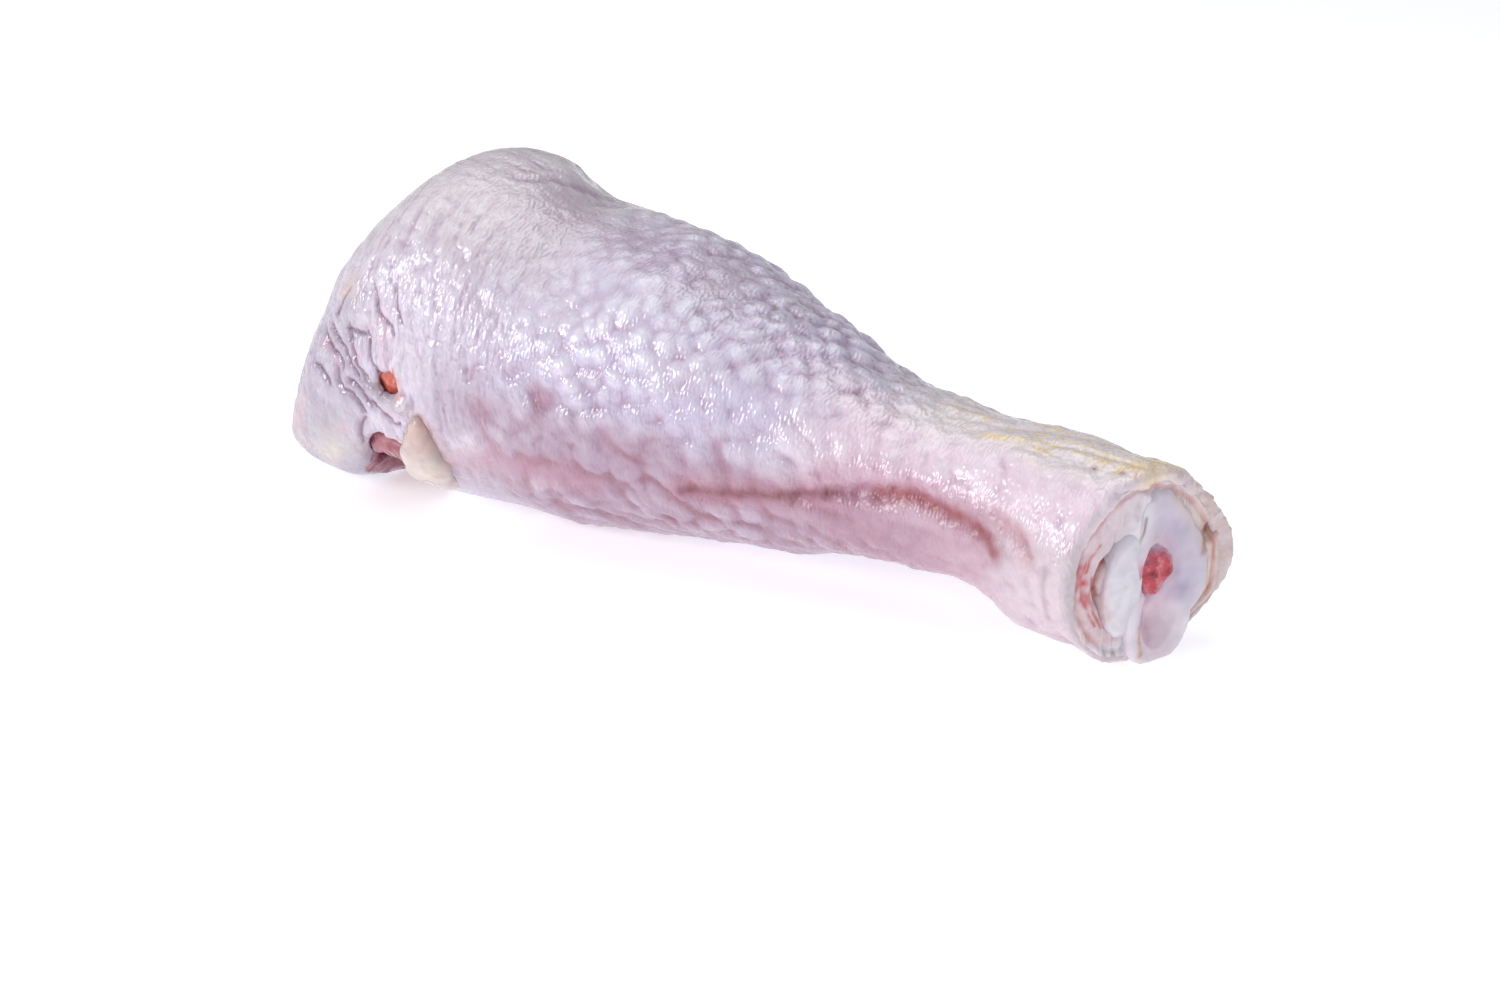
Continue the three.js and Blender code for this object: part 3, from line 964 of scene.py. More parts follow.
# Pimple tops are paler, partly their own tone and partly painted light; the pits between them and the hollows
# get violet painted shade.
skin.wash((234, 231, 244), pimpled * 0.7 * ease(dome * patchy + 0.6 * lumps, 0.3, 0.8))
skin.wash((180, 148, 176), pimpled * pit * (0.45 + 0.15 * crowded))
skin.wash((172, 138, 168), 0.65 * hollow)
skin.wash((128, 108, 120), 0.45 * hair_lines)
print("crevices on", round(float((hollow > 0.3).mean()), 2), "of the points")

# %% Colours and painted shade of the underside and the crown
CROWN_BLOTS = [
    # place on the chart, width in mm, colour, strength
    ((-23, 12), 6, (188, 160, 180), 0.5),
    ((-13, 8), 5, (184, 160, 186), 0.55),
    ((0, 10), 5, (186, 166, 186), 0.5),
]
underside = near_from(78, 94) * window(along, -34, -20, 26, 44)
deep_crevice = np.clip(hollow + 0.3 * crevice, 0, 1) * ease(around, 90, 100)
# Painted shade with a rose tone on the underside, and darker painted shade in the crevices between pillows.
skin.wash((188, 158, 182), underside * (0.7 + 0.3 * noise(5, 47)))
skin.wash((186, 132, 152), underside * ease(around, 146, 124) * patches(points, 3, 48, gain=1.3) * 0.5)
skin.wash((166, 108, 132), pillowed * crevice * 0.75)
skin.wash((160, 92, 104), underside * pillowed * deep_crevice * 0.6)
# Painted light on the pillow tops, and rose painted shade below the crease.
skin.wash((230, 222, 238), pillowed * ease(pillow, 0.3, 0.75) * 0.6)
skin.wash((192, 142, 160), area((16, 28, 43, 50), (84, 98)) * 0.6)
for stop, width, colour, strength in CROWN_BLOTS:
    skin.mark_or_painted_light(at(stop), width, colour, strength)
print("rose underside on", round(float((underside > 0.3).mean()), 2), "of the points")

# %% Colours and painted light of the folds
FOLD_MARKS_AND_SHADE = [
    # stops on the chart, width in mm, colour, strength, raggedness
    ([(-36.9, 105)], 1.0, (236, 230, 238), 0.6, 0.5),
    ([(-52, 120)], 3.0, (226, 214, 196), 0.4, 0.5),
    # painted shade along the far edge of the lobe
    ([(-60, 92), (-61.5, 104), (-60, 116)], 1.6, (196, 164, 168), 0.6, 0.5),
    ([(-51, 77)], 0.7, (172, 130, 110), 0.8, 0.5),
    ([(-38.3, 90), (-37.6, 96), (-37.8, 102)], 0.3, (206, 136, 116), 0.6, 0.9),
    ([(-50, 58), (-47, 60)], 1.8, (222, 198, 186), 0.5, 0.5),
    ([(-54.5, 125), (-57.5, 132)], 2.0, (228, 218, 196), 0.5, 0.5),
    ([(-36, 109), (-33.5, 116), (-33, 124)], 1.0, (200, 150, 128), 0.7, 0.5),
    ([(-32, 119), (-27, 110)], 2.6, (222, 212, 226), 0.7, 0.5),
    ([(-30, 122), (-22, 112), (-10, 114)], 2.4, (190, 140, 160), 0.5, 0.5),
]
turned_near = ease(chart.normals[:, 1], 0.1, -0.4)
# Painted shade on the flap's side turned towards the camera.
skin.deepen((0.65, 0.64, 0.64), ease(along, -40, -48) * ease(around, 50, 76) * turned_near)
skin.wash((220, 211, 212), ease(along, -58, -66) * (1 - turned_near) * 0.6)
# Painted shade on the lower side of the leg.
skin.deepen((0.74, 0.68, 0.71), near_from(62, 96) * window(along, -40, -28, 34, 48))
# Painted light on the pillows between the bunched folds; violet painted shade beside the folds and in their
# thin dark lines.
skin.wash((222, 213, 226), bunched * window(nearest_fold, 0.6, 1.2, 2.5, 4.5) * 0.3)
skin.wash((186, 166, 192), bunched * bell(nearest_fold, 0.7) * 0.35)
skin.wash((214, 176, 192), bunched * patches(points, 2.5, 58, gain=1.4) * 0.4)
skin.wash((112, 66, 96), 0.8 * bell(nearest_fold, 0.24))
skin.wash((168, 154, 164), 0.85 * band)
for stops, width, colour, strength, ragged in FOLD_MARKS_AND_SHADE:
    skin.mark_or_painted_light(at(*stops), width, colour, strength, ragged)
# Painted shade in the folds under the roll.
for stops, _, _ in ROLL_FOLDS:
    skin.mark_or_painted_light(at(*stops), 0.5, (176, 156, 176), 0.2, 0.3)
print("paint in the bunched folds on", round(float((bunched > 0.3).mean()), 2), "of the points")

# %% Colours and painted shadow of the crease and the mouth
SHADOWED_STOPS = 4
CREASE_COLOUR_AND_SHADOW = [
    # stops on the chart, width in mm, colour, strength, raggedness
    # rose along the crease, partly its own colour and partly painted shade; the dark line is painted shadow,
    # darkest along the first stops
    (PRESSED_CREASE, 3.0, (184, 132, 154), 0.6, 0.5),
    (BAND_TOP, 1.8, (196, 152, 174), 0.6, 0.5),
    (PRESSED_CREASE, 1.5, (158, 84, 104), 0.6, 0.3),
    (PRESSED_CREASE[:SHADOWED_STOPS], 0.7, (124, 50, 62), 0.85, 0.3),
    (PRESSED_CREASE[SHADOWED_STOPS:], 1.0, (152, 52, 58), 0.9, 0.3),
    (SECOND_CREASE, 1.3, (202, 132, 144), 0.6, 0.5),
]
for stops, width, colour, strength, ragged in CREASE_COLOUR_AND_SHADOW:
    skin.mark_or_painted_light(at(*stops), width, colour, strength, ragged)
skin.wash((140, 60, 86), mouth_floor)
skin.wash((198, 146, 158), mouth_floor * patches(points, 0.8, 55, gain=2.2, base=-0.6))
print("meat shows through on", int((mouth_floor > 0.5).sum()), "points below the mouth")

# %% Colours towards the hock
YELLOW_STREAKS = [
    # stops on the chart, width in mm, strength
    ([(57, 6), (61, 4), (64, 2)], 1.0, 0.45),
    ([(62, 8), (64.5, 0), (65.5, -10)], 1.4, 0.75),
    ([(59, -14), (63, -22), (65, -34)], 1.4, 0.5),
    ([(41, 20), (46, 17), (51, 16)], 0.4, 0.6),
    ([(47, 10), (53, 9), (58, 12)], 0.35, 0.6),
    ([(43, 4), (50, 2), (57, 3)], 0.35, 0.5),
    ([(46, -8), (53, -7), (60, -8)], 0.4, 0.5),
    ([(33, -2), (40, 0)], 0.4, 0.4),
    ([(60, 13), (63, 8)], 0.9, 0.6),
]
BROWN_SPOTS = [
    # place on the chart, width in mm
    ((60.5, 15), 0.5),
    ((62, 12), 0.45),
    ((62, 21), 0.6),
    ((57, 17), 0.4),
]
skin.wash((240, 232, 232), ridge * 0.8)
streaks = np.clip(1.6 * np.abs(noise((7, 0.9, 0.9), 46)) - 0.2, 0, 1)
skin.wash((210, 190, 170), 0.4 * ridge * streaks)
for stops, width, strength in YELLOW_STREAKS:
    skin.mark_or_painted_light(at(*stops), width, (238, 212, 146), strength, 1.3)
for stop, width in BROWN_SPOTS:
    skin.mark_or_painted_light(at(stop), width, (160, 96, 72), 0.9, 0.2)
print(len(YELLOW_STREAKS), "yellow streaks and", len(BROWN_SPOTS), "brown spots")

# %% Colours of the edge at the cut
SKIN_LINE = [
    # side and up on the cut
    (-3.6, 9.6), (-6.0, 8.6), (-8.4, 7.3), (-10.6, 6.0), (-12.2, 4.4), (-13.2, 2.2), (-13.6, -0.6),
    (-13.0, -3.2), (-11.6, -5.4), (-9.4, -7.8), (-7.0, -9.8),
]
LOW_FOLD = [(-10.4, -8), (-8.2, -10), (-6.1, -12), (-4.3, -13.3)]
YELLOW_TAGS = [
    # side, up and out of the cut, then the width in mm
    ((-3.0, 10.7, -0.3), 1.3),
    ((-2.0, 11.6, -1.0), 1.3),
    ((0.3, 12.2, -2.6), 1.5),
    ((3.6, 12.0, -3.4), 1.3),
]


def cut_path(stops, out):
    """A path at that level, from places on the cut."""
    return np.array([cut_point(*stop, out) for stop in stops])


edge = ease(out, -0.9, -0.1)
skin.wash((226, 212, 222), 0.9 * edge)
skin.wash((206, 178, 166), edge * ease(side, 0, 5) * (0.6 + 0.4 * noise(2, 52)))
skin.wash((218, 176, 170), 0.8 * inner_edge)
skin.mark_or_painted_light(cut_path(SKIN_LINE, -0.9), 0.45, (198, 112, 88), 0.8)
for stop, width in YELLOW_TAGS:
    skin.mark_or_painted_light(cut_point(*stop), width, (230, 200, 112), 0.8)
skin.mark_or_painted_light(cut_path(LOW_FOLD, -1.2), 0.8, (224, 178, 120), 0.7)
# Painted shade in the groove beside the lip, and on the near lower side towards the hock.
skin.wash((198, 172, 184), 0.6 * groove)
skin.deepen((0.79, 0.8, 0.77), ease(along, 36, 52) * near_from(50, 74))
skin.mark_or_painted_light(at((62, 8), (64, 0)), 2.2, (246, 228, 204), 0.45, 0.3)
skin.keep()
keep_layer(wet_skin, "hollow", hollow)
keep_layer(wet_skin, "hoops", hoops)
keep_layer(wet_skin, "dull", in_crease)

# %% [markdown]
# ## Finish of the skin
# Wet skin scatters light below its surface and carries a thin film of water above it. Subsurface scattering
# gives the first and a smooth coat the second. The film is broken by grain too fine to model, which is what
# turns one broad reflection into many small glints.

# %% Skin finish
wet = Finish(
    "wet chicken skin",
    Subsurface_Weight=0.22,
    Subsurface_Scale=1.0 * MM,
    Subsurface_Radius=(1.0, 0.45, 0.4),
    Coat_Roughness=0.3,
    Specular_IOR_Level=0.8,
)
grain = wet.cloudiness(1.5, detail=4)
painted = wet.layer("paint", "Color")
lighter = wet.mix(0.07, painted, shade(238, 232, 240))
darker = wet.mix(0.14, painted, shade(150, 118, 150))
hoop_film = wet.cloudiness(0.45, detail=0, stretch=(0.8, 2.8, 2.8))
film = wet.cloudiness(0.45, detail=0, stretch=(0.8, 1.5, 1.5))
swell = wet.cloudiness(2.0, detail=0)
relief = 0.6 * hoop_film * wet.layer("hoops") + 0.75 * film + 0.55 * swell
wet.feed(
    Base_Color=wet.mix(wet.band(grain, 0.32, 0.68), darker, lighter),
    Roughness=0.1 + 0.16 * wet.cloudiness(2.5) + 0.2 * wet.layer("dull"),
    Coat_Weight=(0.15 - 0.1 * wet.layer("hollow")).clamped(),
    Normal=wet.bump(relief, 1.0, 0.2),
)
wet.wear(wet_skin)
print("skin finish has", len(wet.tree.nodes), "nodes")

# %% [markdown]
# The other pieces are wet too, so one helper makes all their finishes. They differ in how much light goes
# below the surface, how smooth the film is, and how coarse and deep the grain is.

# %% Finish of the other pieces
def painted_wet(piece, name, scatter, gloss, grain_size, grain_depth):
    """A wet finish that takes its colour from the piece's paint. Gloss is the least roughness."""
    made = Finish(
        name,
        Subsurface_Weight=scatter,
        Subsurface_Scale=1.0 * MM,
        Subsurface_Radius=(1.0, 0.5, 0.45),
        Coat_Weight=0.3,
        Coat_Roughness=0.15,
    )
    grain = made.cloudiness(grain_size, detail=3)
    painted = made.layer("paint", "Color")
    darker = made.mix(0.16, painted, shade(120, 70, 84))
    made.feed(
        Base_Color=made.mix(made.band(grain, 0.35, 0.65), darker, painted),
        Roughness=gloss + 0.2 * made.cloudiness(grain_size * 2),
        Normal=made.bump(grain, 0.8, grain_depth),
    )
    made.wear(piece)
    print(piece.name, "wears", name)

# %% [markdown]
# ## Flesh and fat
# Dark, wet meat bulges into the opening under the thick end and shows at the little tear above it. Its grain
# runs down across the opening. The lump of fat beside it is smooth, with waves along its edges.

# %% Meat
TEAR_MIDDLE, TEAR_WIDTH = np.array([-40.8, -23.5, 21.9]), 4.2


def push(piece, amount):
    """Moves the mesh along its normals by that many mm, one amount for all or one for each point."""
    write_points(piece, read_points(piece) + read_normals(piece) * np.reshape(amount, (-1, 1)))


leg_meat = fine_copy("meat", "leg_meat", cell=0.6, rounds=5)
meat_points = read_points(leg_meat)
seen = between(meat_points[:, 0], -50, -32) & (meat_points[:, 1] < -10) & (meat_points[:, 2] < 24)
refine(leg_meat, seen)
meat_points = read_points(leg_meat)
strands = np.abs(cloud(meat_points, (1.1, 4, 4), 61))
lumps = cloud(meat_points, 1.6, 62)
in_tear = near(TEAR_MIDDLE, meat_points, TEAR_WIDTH)
push(leg_meat, 0.5 * strands + 0.35 * lumps - 0.2 + in_tear * (1.4 + 0.5 * cloud(meat_points, 1.2, 65)))
write_points(leg_meat, waist_pressed(strip_lifted(read_points(leg_meat))))
print("meat that shows:", int(seen.sum()), "points before they were refined")

# %% Paint the meat
meat_height = meat_points[:, 2]
meat = Paint(leg_meat, meat_points, (172, 104, 118))
meat.wash((206, 168, 172), np.clip(1.4 * strands - 0.3, 0, 1) * 0.8)
meat.wash((164, 78, 90), ease(meat_height, 8.5, 10.5) * (0.6 + 0.4 * lumps))
meat.wash((128, 66, 92), ease(meat_height, 8.5, 6) * (0.8 + 0.4 * lumps))
meat.wash((190, 140, 146), ease(meat_height, 6, 3) * patches(meat_points, 0.7, 63, gain=1.6, base=-0.3))
meat.wash((204, 104, 86), ease(meat_height, 14, 17))
meat.wash((232, 160, 140), ease(meat_height, 14, 17) * patches(meat_points, 1.2, 64) * 0.5)
meat.keep()
painted_wet(leg_meat, "dark wet meat", scatter=0.2, gloss=0.12, grain_size=1.2, grain_depth=0.3)

# %% Fat
fat_lump = fine_copy("fat", "fat_lump", cell=0.22, rounds=10)
fat_points = read_points(fat_lump)
push(fat_lump, 0.4 + 0.35 * cloud(fat_points, (3, 3, 2.2), 66) + 0.12 * cloud(fat_points, 1.3, 67))
shift(fat_lump, 1.1 * ease(fat_points[:, 0], -40, -36), (1, 0, 0))
fat_height = fat_points[:, 2]
fat = Paint(fat_lump, fat_points, (208, 196, 192))
fat.wash((224, 210, 200), window(fat_height, 6, 9, 10, 12) * 0.7)
fat.wash((204, 176, 168), ease(fat_height, 10.5, 14.5) * (0.8 + 0.3 * cloud(fat_points, 1.5, 68)))
fat.wash((206, 180, 180), patches(fat_points, 2.5, 69) * 0.6)
fat.wash((222, 150, 106), ease(fat_height, 6, 4) * ease(fat_points[:, 0], -37, -35) * 0.9)
fat.keep()
painted_wet(fat_lump, "soft fat", scatter=0.4, gloss=0.18, grain_size=1.6, grain_depth=0.15)

# %% [markdown]
# ## The cut joint
# The joint's white cap has a rounded rim on its near side, which runs on round the hollow socket below. The
# red marrow fills the hole in it and blends into the cartilage round it. The tendon's pad lies beside the rim.
# The copy of the cap is first stretched to its soft outline, and then raised and hollowed across the cut.

# %% Tools for the cut
def push_out(piece, amount, depth=5.0):
    """Moves the points near the cut out of it by amount mm, and those deeper than depth not at all."""
    share = ease(on_cut(read_points(piece))[2], -depth, -0.6)
    shift(piece, share * amount, CUT_OUT)


def press_back(piece, level, share):
    """Leaves only that share of how far the piece stands out of the cut beyond level mm."""
    beyond = np.maximum(on_cut(read_points(piece))[2] - level, 0)
    shift(piece, (share - 1) * beyond, CUT_OUT)


def oval(place, centre, reach):
    """0 in the middle, 1 on the rim of an oval."""
    return np.hypot((place[:, 0] - centre[0]) / reach[0], (place[:, 1] - centre[1]) / reach[1])


print("half-way out of an oval:", oval(np.array([[1.0, 0.0]]), (0, 0), (2, 1))[0])

# %% Outline of the cap
CAP_MIDDLE, CAP_DEPTH = np.array([1.0, -2.0]), -1.0
CAP_OUTLINE = [
    # side and up on the cut
    (-1.2, 10.3), (-3.0, 9.7), (-3.8, 6.7), (-4.2, 3.5), (-4.6, 0.1), (-4.8, -4.1), (-4.9, -8.4),
    (-4.3, -11.6), (-2.2, -13.4), (1.4, -13.8), (3.6, -12.6), (4.9, -10.1), (5.2, -8.0), (7.6, -6.2),
    (8.6, -3.6), (7.8, 0.4), (5.6, 3.8), (3.4, 7.1), (1.0, 9.5),
]
outline = np.array(CAP_OUTLINE) - CAP_MIDDLE
outline_turns = np.degrees(np.arctan2(outline[:, 1], outline[:, 0]))
by_turn = np.argsort(outline_turns)


def cap_outline(turn):
    """Distance from the cap's middle to where its edge should be."""
    return np.interp(turn, outline_turns[by_turn], np.hypot(*outline[by_turn].T), period=360)


cap_tree = search_tree("cartilage")
cap_at = (*CAP_MIDDLE, CAP_DEPTH)
cap_reach = [reach_of(cap_tree, cap_at, turn, RAY_START, -1) for turn in TURNS]
print("cap reaches", round(min(cap_reach), 1), "to", round(max(cap_reach), 1), "mm from its middle")

# %% Sculpt the cap
RIM_LINE = [
    (-2.6, 8.4), (-3.6, 6.0), (-4.1, 3.0), (-4.3, -0.5), (-4.2, -4.5), (-4.1, -8.0), (-3.7, -10.8),
    (-2.2, -13.2), (0.4, -14.2), (2.8, -13.0), (4.0, -10.2), (4.4, -8.4),
]
SOCKET_AT, SOCKET_REACH = (-0.5, -8.9), (3.8, 4.5)
CAP_GROWTH = 0.25
CAP_LEVEL, CAP_SHARE = 0.45, 0.3

joint_cap = fine_copy("cartilage", "joint_cap", cell=0.22, rounds=16)
cap_points = read_points(joint_cap)
side, up, out, turn = polar(cap_points, CAP_MIDDLE)
wanted, now = cap_outline(turn), np.interp(turn, TURNS, cap_reach, period=360)
stretch = ease(out, -6, -1) * ease(np.hypot(side, up) / now, 0.6, 0.95) * (wanted / now - 1)
write_points(joint_cap, spread_out(cap_points, stretch * side, stretch * up))
place = flat_place(read_points(joint_cap))
rim = near(RIM_LINE, place, 1.0) * (0.2 + 0.8 * ease(place[:, 1], -4, -8))
socket = bell(oval(place, SOCKET_AT, SOCKET_REACH) ** 1.5, 1)
low_lobe = ease(place[:, 1], -7, -13)
push(joint_cap, CAP_GROWTH)
push_out(joint_cap, 0.45 * rim - 1.1 * socket + 0.4 * low_lobe + 0.2 * cloud(read_points(joint_cap), 4, 71))
press_back(joint_cap, CAP_LEVEL, CAP_SHARE)
write_points(joint_cap, on_the_floor(read_points(joint_cap)))
print("joint cap has", len(joint_cap.data.polygons), "quads")

# %% Paint the cap
MARROW_AT = (-0.9, -0.9)
DARK_SEAM = [(-3.2, 7.0), (-3.5, 5.2), (-4.0, 3.6), (-4.5, 2.6)]
SOCKET_MARKS_AND_LIGHT = [
    # stops on the cut, width in mm, colour, strength, raggedness
    # violet painted shade at the top of the socket
    ([(-1.6, -5.4), (-0.6, -5.6)], 1.0, (142, 114, 164), 0.75, 0.2),
    ([(-1.6, -8.4), (-1.2, -10.4)], 1.5, (206, 168, 190), 0.6, 0.2),
    # painted light on the lower right of the socket
    ([(1.8, -11.0), (2.2, -8.0)], 1.6, (238, 228, 238), 0.8, 0.2),
    ([(-3.2, -8.0), (-3.3, -9.6), (-2.8, -11.8)], 0.4, (206, 156, 126), 0.8, 0.3),
    ([(-2.1, -4.4), (-2.9, -6.4), (-3.2, -8.0)], 0.3, (186, 160, 190), 0.8, 0.3),
    (DARK_SEAM, 0.14, (132, 92, 84), 0.8, 0.4),
]
EDGE_BLOTS = [
    ([(-3.3, -2.6), (-3.2, 0.2)], 0.8, (212, 118, 148), 0.8, 0.5),
    ([(0.8, 9.6), (2.6, 7.0), (4.9, 4.1), (6.9, 1.6)], 0.8, (224, 206, 206), 0.8, 0.5),
    ([(7.4, 0.8), (8.3, -1.6), (8.0, -4.6)], 0.7, (206, 180, 172), 0.6, 0.5),
    ([(7.2, 2.4), (7.0, -0.1)], 0.6, (166, 112, 84), 0.85, 0.2),
]
cap = Paint(joint_cap, place, (220, 214, 230))
cap.mark_or_painted_light([(2.2, 4.0)], 3.6, (196, 190, 214), 0.7)
cap.mark_or_painted_light([(3.0, -3.6)], 2.6, (172, 164, 198), 0.7)
# Painted light: the socket is painted paler than its own pink, to offset the shade in its hollow.
cap.wash((255, 228, 242), socket * 0.95)
cap.wash((236, 232, 242), 0.85 * near(RIM_LINE, place, 1.2))
for mark_or_painted_light in SOCKET_MARKS_AND_LIGHT:
    cap.mark_or_painted_light(*mark_or_painted_light)
cap.wash((212, 150, 174), bell(oval(place, MARROW_AT, (3.1, 4.1)), 1) * 0.8)
for mark_or_painted_light in EDGE_BLOTS:
    cap.mark_or_painted_light(*mark_or_painted_light)
cap.keep()
painted_wet(joint_cap, "joint cartilage", scatter=0.4, gloss=0.2, grain_size=3.0, grain_depth=0.06)

# %% [markdown]
# The marrow is the end of the bone. The bone's end is swollen until it fills the hole in the cap, its face is
# slanted to the plane of the cut, and the spongy middle is raised a little.

# %% Marrow
HOLE_AT = (-1.3, -0.85)
MARROW_SWELLING, MARROW_SHIFT = 1.28, 0.45
SPONGE_REACH = (2.6, 2.9)

red_bone = fine_copy("bone", "red_bone", cell=0.3, rounds=2)
bone_points = read_points(red_bone)
at_end = ease(on_cut(bone_points)[2], -7, -3)
hole = cut_point(*HOLE_AT, 0)
bone_points[:, 1:] += (bone_points[:, 1:] - hole[1:]) * (MARROW_SWELLING - 1) * at_end[:, None]
bone_points[:, 1] += MARROW_SHIFT * at_end
slant = (bone_points[:, 1] - HOCK[1]) * math.tan(CUT_TURN)
bone_points[:, 0] += at_end * (slant + HOCK[0] - bone_points[:, 0].max())
write_points(red_bone, bone_points)
bone_place = flat_place(bone_points)
from_middle = oval(bone_place, MARROW_AT, SPONGE_REACH) + 0.16 * cloud(bone_points, 1.2, 73)
bulge = 0.5 * ease(from_middle, 1.25, 0.85) + 0.3 * ease(from_middle, 1.0, 0.8) * cloud(bone_points, 0.8, 74)
push_out(red_bone, bulge, depth=2.0)
marrow = Paint(red_bone, bone_place, (204, 36, 64))
marrow.wash((120, 16, 36), patches(bone_points, 0.7, 75, gain=2.2) * 0.75)
marrow.wash((228, 132, 146), patches(bone_points, 0.6, 76, gain=2.2, base=-0.5) * 0.65)
marrow.wash((208, 186, 206), ease(from_middle, 0.88, 1.08))
marrow.wash((206, 120, 146), bell(from_middle - 1, 0.14) * 0.6)
marrow.keep()
painted_wet(red_bone, "red marrow", scatter=0.15, gloss=0.15, grain_size=0.5, grain_depth=0.3)

# %% Tendon pad
PAD_GROWTH, PAD_SHIFT = 0.25, 1.3
PAD_LEVEL, PAD_SHARE = 0.4, 0.3

tendon_pad = fine_copy("tendon", "tendon_pad", cell=0.22, rounds=8)
push(tendon_pad, PAD_GROWTH)
shift(tendon_pad, PAD_SHIFT * ease(on_cut(read_points(tendon_pad))[0], -6.8, -5.2), CUT_SIDE)
place = flat_place(read_points(tendon_pad))
pad_swell = 0.3 * bell(oval(place, (-6.2, -3.5), (3, 6)), 1) + 0.5 * ease(place[:, 1], 0.5, 3.5)
push_out(tendon_pad, pad_swell + 0.2 * cloud(read_points(tendon_pad), 2.5, 77))
press_back(tendon_pad, PAD_LEVEL, PAD_SHARE)
pad = Paint(tendon_pad, place, (232, 228, 240))
pad.wash((240, 238, 246), 0.6 * bell(oval(place, (-6.8, -2.5), (2, 4)), 1))
pad.mark_or_painted_light([(-9.2, 1.0), (-9.6, -2.0), (-8.4, -5.5)], 0.7, (220, 190, 192), 0.7)
pad.keep()
painted_wet(tendon_pad, "white tendon", scatter=0.4, gloss=0.16, grain_size=2.0, grain_depth=0.08)

# %% [markdown]
# Between the ring of skin and the joint lies loose tissue, which shows in the slit on the near side. It is a
# thin plate: a fine grid whose square outline is stretched to the inner wall of the skin, which rays from the
# middle of the cut find, and then given thickness and sculpted.

# %% Slit tissue
GRID_CELLS = 150
TISSUE_THICKNESS = 1.0
TISSUE_LIMIT, TISSUE_OVERLAP = 13.5, 0.8
free_reach = np.array([min(reach_of(skin_tree, ring_at, turn, 0, 1), TISSUE_LIMIT) for turn in TURNS])
inner_reach = free_reach * rounded_reach / outer_reach + TISSUE_OVERLAP
bpy.ops.object.select_all(action="DESELECT")
bpy.ops.mesh.primitive_grid_add(x_subdivisions=GRID_CELLS, y_subdivisions=GRID_CELLS, size=2)
slit_tissue = bpy.context.object
slit_tissue.name = slit_tissue.data.name = "slit_tissue"
square = read_points(slit_tissue) * MM
turn = np.degrees(np.arctan2(square[:, 1], square[:, 0]))
share = np.abs(square[:, :2]).max(1)
reach = np.interp(turn, TURNS, inner_reach, period=360) * share
turn = np.radians(turn)
place = RING_MIDDLE + np.stack([np.cos(turn), np.sin(turn)], 1) * reach[:, None]
print("tissue reaches", inner_reach.min().round(1), "to", inner_reach.max().round(1), "mm")

# %% Sculpt the tissue
def part_of_reach(place):
    """0 in the middle of the ring of skin, 1 at the edge of the tissue."""
    side, up = (place - RING_MIDDLE).T
    return np.hypot(side, up) / np.interp(np.degrees(np.arctan2(up, side)), TURNS, inner_reach, period=360)


EDGE_OF_SKIN, GROOVE_PART = 0.92, 0.03
SLIT_WIDTH = 0.45
SLIT_LINE = [
    (-6.9, 3.3), (-7.8, 2.5), (-9.1, 1.7), (-9.7, 0.5), (-10.1, -0.9), (-9.8, -1.9), (-8.9, -3.8), (-7.4, -6.7),
]
SEAM_LINE = [
    (-2.8, 9.3), (-4.0, 6.5), (-4.4, 3.4), (-4.6, 0), (-4.7, -4), (-4.6, -7), (-4.3, -9.5), (-3.4, -12),
]
RED_SPOTS = [(-12.5, 1.7), (-12.2, -0.2), (-11.4, -2.2)]
RED_STRANDS = [
    [(-11.6, 3.0), (-12.4, 0.8), (-11.9, -2.0), (-10.9, -4.4), (-9.6, -6.4)],
    [(-10.8, 0.6), (-10.9, -2.2), (-9.9, -4.6), (-8.6, -6.9)],
    [(-9.6, 4.6), (-10.9, 3.2), (-11.6, 1.4)],
]
solid_place = np.hstack([place, np.zeros((len(place), 1))])
strand = cloud(solid_place, (0.7, 3.5, 1), 81)
slit = near(SLIT_LINE, place, SLIT_WIDTH)
ring_groove = bell(part_of_reach(place) - EDGE_OF_SKIN, GROOVE_PART)
brown_hole = bell(oval(place, (8.2, 2.0), (1.1, 1.3)) ** 2, 1)
seam = near(SEAM_LINE, place, 0.9)
lift = 0.25 * strand + 0.18 * cloud(solid_place, 2, 82) - 0.9 * slit - 0.25 * ring_groove - 0.5 * brown_hole
lift = lift - 0.4 + 0.25 * ease(share, 0.86, 1.0) + 0.7 * seam
spread = HOCK + np.outer(place[:, 0], CUT_SIDE) + np.outer(lift, CUT_OUT)
spread[:, 2] += place[:, 1]
write_points(slit_tissue, spread)
print("tissue lies", lift.min().round(1), "to", lift.max().round(1), "mm out of the cut")

# %% Trim the tissue
HIDDEN_FROM, HIDDEN_MARGIN = 0.8, 1.3
LOOK_BELOW = 1.5
joint = search_tree("cartilage", "tendon")


def depth_in_joint(point):
    """How deep a point lies inside the cap or the pad, in mm, or less than 0 outside."""
    nearest, normal, _, distance = joint.find_nearest(Vector(point) * MM)
    return distance / MM * (-1 if (Vector(point) * MM - nearest).dot(normal) > 0 else 1)


covered = np.array([depth_in_joint(point) > HIDDEN_FROM for point in spread - LOOK_BELOW * CUT_OUT])
side, up = (place - CAP_MIDDLE).T
covered |= np.hypot(side, up) < cap_outline(np.degrees(np.arctan2(up, side))) - HIDDEN_MARGIN
edit_where(slit_tissue, covered, lambda: bpy.ops.mesh.delete(type="FACE"))
apply_modifier(slit_tissue, "SOLIDIFY", thickness=TISSUE_THICKNESS * MM, offset=-1)
bpy.ops.object.shade_smooth()
print("tissue left:", count_triangles(slit_tissue), "triangles")

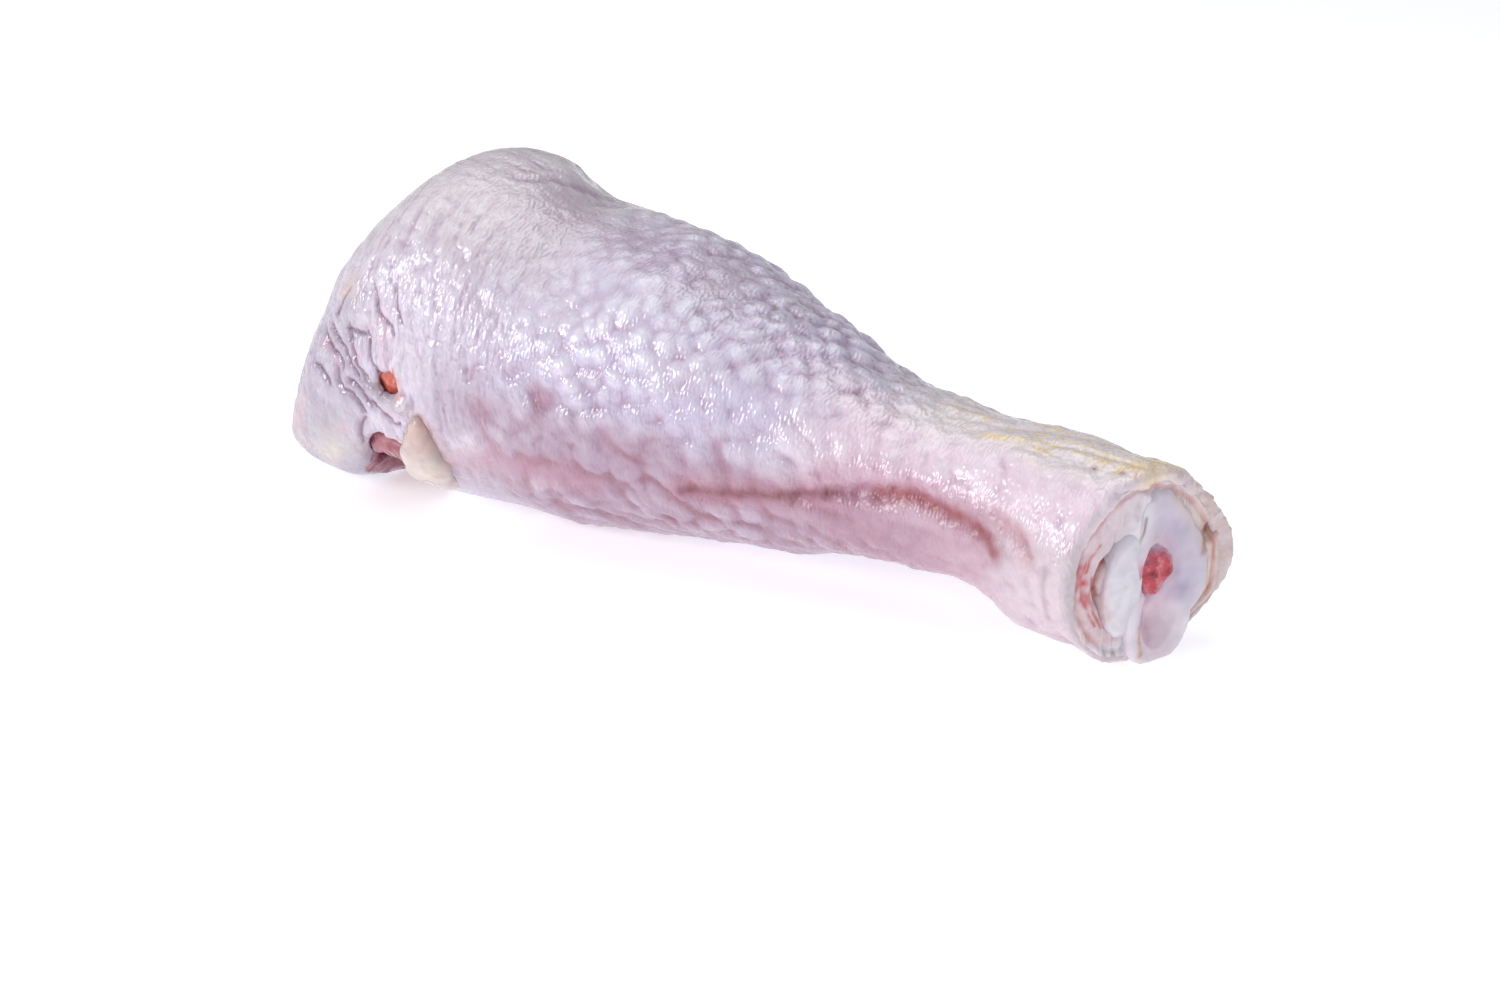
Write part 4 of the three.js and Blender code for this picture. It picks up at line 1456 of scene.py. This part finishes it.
# %% Paint the tissue
SLIT_BLOTS = [
    # stops on the cut, width in mm, colour, strength, raggedness
    (SLIT_LINE, SLIT_WIDTH, (170, 84, 62), 0.85, 0.6),
    ([(-7.9, -5.4), (-7.2, -7.4)], 0.45, (120, 44, 36), 0.8, 0.2),
    *(([spot], 0.9, (206, 72, 84), 0.85, 0.8) for spot in RED_SPOTS),
    ([(8.2, 2.2)], 1.7, (176, 128, 108), 0.7, 0.5),
    ([(8.0, 2.4)], 0.8, (132, 78, 58), 0.9, 0.4),
    ([(-7.1, 3.6)], 0.5, (150, 96, 60), 0.8, 0.3),
    ([(-5.6, 4.5), (-4.6, 8.5)], 1.6, (236, 228, 236), 0.8, 0.2),
    *((strand_line, 0.22, (196, 88, 84), 0.7, 0.8) for strand_line in RED_STRANDS),
    (DARK_SEAM, 0.14, (132, 92, 84), 0.8, 0.4),
]
place = flat_place(read_points(slit_tissue))
tissue = Paint(slit_tissue, place, (232, 214, 222))
tissue.wash((222, 186, 192), patches(tissue.solid, (2, 2, 3.5), 84, base=0.3) * 0.6)
tissue.wash((230, 210, 204), 0.8 * ease(place[:, 0], 2, 6))
ring_line = bell(part_of_reach(place) - EDGE_OF_SKIN, GROOVE_PART) * ease(place[:, 1], -10.5, -8.5)
tissue.wash((200, 120, 98), 0.8 * ring_line * (0.7 + 0.5 * cloud(tissue.solid, 1.5, 85)))
tissue.wash((232, 224, 232), ease(place[:, 1], -8.5, -10.5) * ease(place[:, 0], 2, 0))
tissue.wash((232, 226, 236), 0.9 * near(SEAM_LINE, place, 1.2))
for mark_or_painted_light in SLIT_BLOTS:
    tissue.mark_or_painted_light(*mark_or_painted_light)
tissue.keep()
painted_wet(slit_tissue, "loose pink tissue", scatter=0.3, gloss=0.12, grain_size=1.2, grain_depth=0.25)

# %% [markdown]
# ## Where each piece belongs
# Every piece moves with the leg. Six stand for their measured solids, which are hidden. The slit tissue
# has no solid of its own.

# %% Attach the pieces
for piece, node in (
    (wet_skin, "skin"),
    (leg_meat, "meat"),
    (fat_lump, "fat"),
    (red_bone, "bone"),
    (joint_cap, "cartilage"),
    (tendon_pad, "tendon"),
):
    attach(piece, "root")
    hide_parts(node)
    print(piece.name, count_triangles(piece), "triangles")
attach(slit_tissue, "root")
print(slit_tissue.name, count_triangles(slit_tissue), "triangles")
